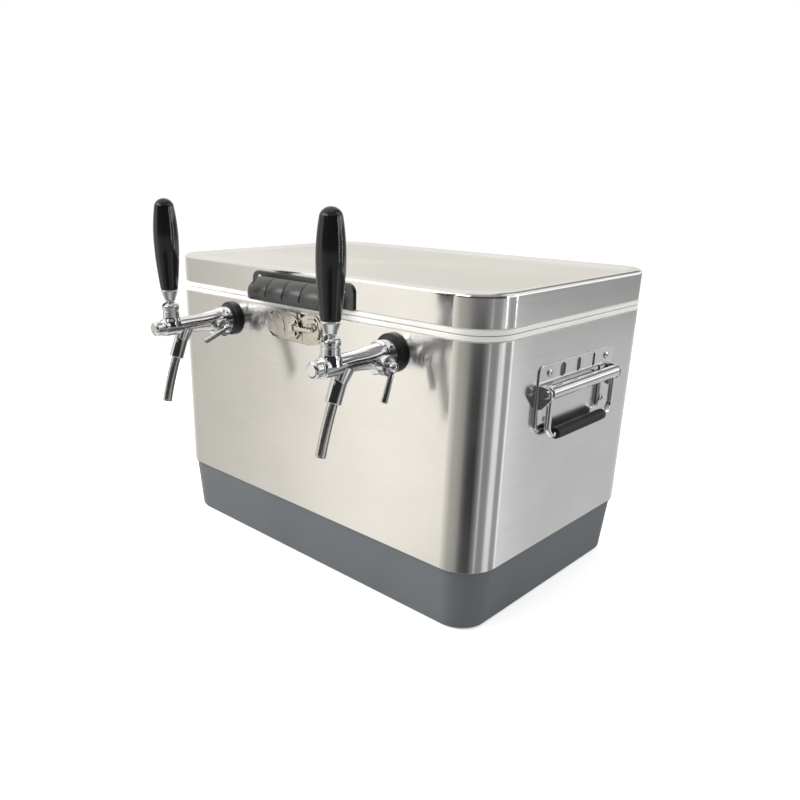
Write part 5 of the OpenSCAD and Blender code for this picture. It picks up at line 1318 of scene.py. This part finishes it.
flangeLow, flangeHigh = boxOf("left_flange")
tapZ = (flangeLow[2] + flangeHigh[2]) / 2
inletLow, inletHigh = boxOf("left_inlet_shank")
inletZ = (inletLow[2] + inletHigh[2]) / 2
path = coilPath(inletZ, tapZ)
locknuts, coilNuts = [], []
p = fittingShape
for side, sign in (("left", -1), ("right", 1)):
    low, high = boxOf(side + "_flange")
    tapX = (low[0] + high[0]) / 2
    coilX = tapX - sign * coilShape["outletX"]
    inletX = coilX + sign * coilShape["inletX"]
    addPiece(side + "Coil", [tube(path * (sign, 1, 1) + (coilX, 0, 0), coilShape["tube"], 16)], "box",
             "tube_stainless", [side + "_coil"])
    for place, way in (((tapX, wallY, tapZ), backward), ((inletX, halfDepth, inletZ), forward)):
        inner = np.array(place) + way * bodyShape["wall"]
        locknuts.append(hexNut(inner, way, p["lockHigh"], p["lockCorner"], p["nutHole"], 0.2))
        coilNuts.append(hexNut(inner + way * p["coilFrom"], way, p["coilHigh"], p["coilCorner"],
                               p["coilHole"], 0.5))
    outlet = np.array((tapX, wallY, tapZ))
    addPiece(side + "Shank", shankBars(outlet, backward, p["tapReach"]), "box", "chrome_plate",
             [side + "_shank"])
    inlet = np.array((inletX, halfDepth, inletZ))
    tail = threadTube(inlet + backward * p["tailFrom"], backward, p["tailRadius"], p["tailLong"], p["bore"])
    addPiece(side + "InletShank", shankBars(inlet, forward, p["inletReach"]) + [tail], "box",
             "tube_stainless", [side + "_inlet_shank"])
addPiece("lockNuts", locknuts, "box", "plain_brass", ["locknuts"])
addPiece("coilNuts", coilNuts, "box", "plain_brass", ["coil_nuts"])
outerNuts, washers = [], []
for side in ("left", "right"):
    low, high = boxOf(side + "_inlet_shank")
    place = np.array([(low[0] + high[0]) / 2, halfDepth, inletZ])
    outerNuts.append(hexNut(place + backward * p["washerThick"], backward, p["lockHigh"], p["lockCorner"],
                            p["nutHole"], 0.35))
    hole, rim, thick = p["washerHole"], p["washer"], p["washerThick"]
    ring = softCorners([(hole, 0), (rim, 0), (rim, thick), (hole, thick), (hole, 0)], [0.3, 0.8, 0.3], 4)[:-1]
    washers.append(lathe(ring, place, backward, 64, True))
addPiece("inletNuts", outerNuts, "box", "plain_brass", ["inlet_nuts"])
addPiece("inletWashers", washers, "box", "black_rubber", ["inlet_washers"])
print("coils and shanks ready")


# drain
drainShape = {"bore": 8, "tube": 11, "flange": 19, "seat": 296.9, "plugPlay": 0.05}


def drain():
    d = drainShape
    low, high = boxOf("drain_washer")
    place = np.array([-d["seat"], 0, (low[2] + high[2]) / 2])
    out = np.array([-1.0, 0, 0])
    inner = -(d["seat"] - (halfWidth - bodyShape["wall"]))
    fitting = softCorners([(d["bore"], inner - 7), (d["tube"], inner - 7), (d["tube"], 2), (d["flange"], 2),
                           (d["flange"], 4), (d["flange"] - 2, 5), (d["bore"], 5), (d["bore"], inner - 7)],
                          [0.5, 0, 0.3, 0.8, 0.8, 0.5], 4)[:-1]
    addPiece("drainFitting", [lathe(fitting, place, out, 72, True)], "box", "white_plastic",
             ["drain_fitting"])
    ring = softCorners([(11.3, 0), (18, 0), (18, 2), (11.3, 2), (11.3, 0)], [0.2, 0.7, 0.2], 4)[:-1]
    addPiece("drainWasher", [lathe(ring, place, out, 64, True)], "box", "black_rubber", ["drain_washer"])
    addPiece("drainNut", [hexNut(place + out * (inner - 6), out, 6, 14, 11.05)], "box", "white_plastic",
             ["drain_nut"])
    stem = d["bore"] - d["plugPlay"]
    plug = softCorners([(0, -22), (stem, -22), (stem, 5.2), (12, 5.2), (13, 6.2), (13, 8.6), (11.6, 10),
                        (5.4, 10), (5, 9.2), (0, 9.2)],
                       [1.4, 0, 0.3, 0.6, 1.0, 0.6, 0.4, 0.4], 4)
    wingLine = roundedOutline((-8, 9), (8, 17), [1, 1, 3.5, 3.5])
    tab = flatPlate([wingLine], 4, 0.9, place + np.array([0, 0, -2.0]), (0, 1, 0), (-1, 0, 0))
    addPiece("drainPlug", [lathe(plug, place, out, 72), tab], "drain_stopper", "white_plastic",
             ["drain_plug"])


drain()
print("drain ready")
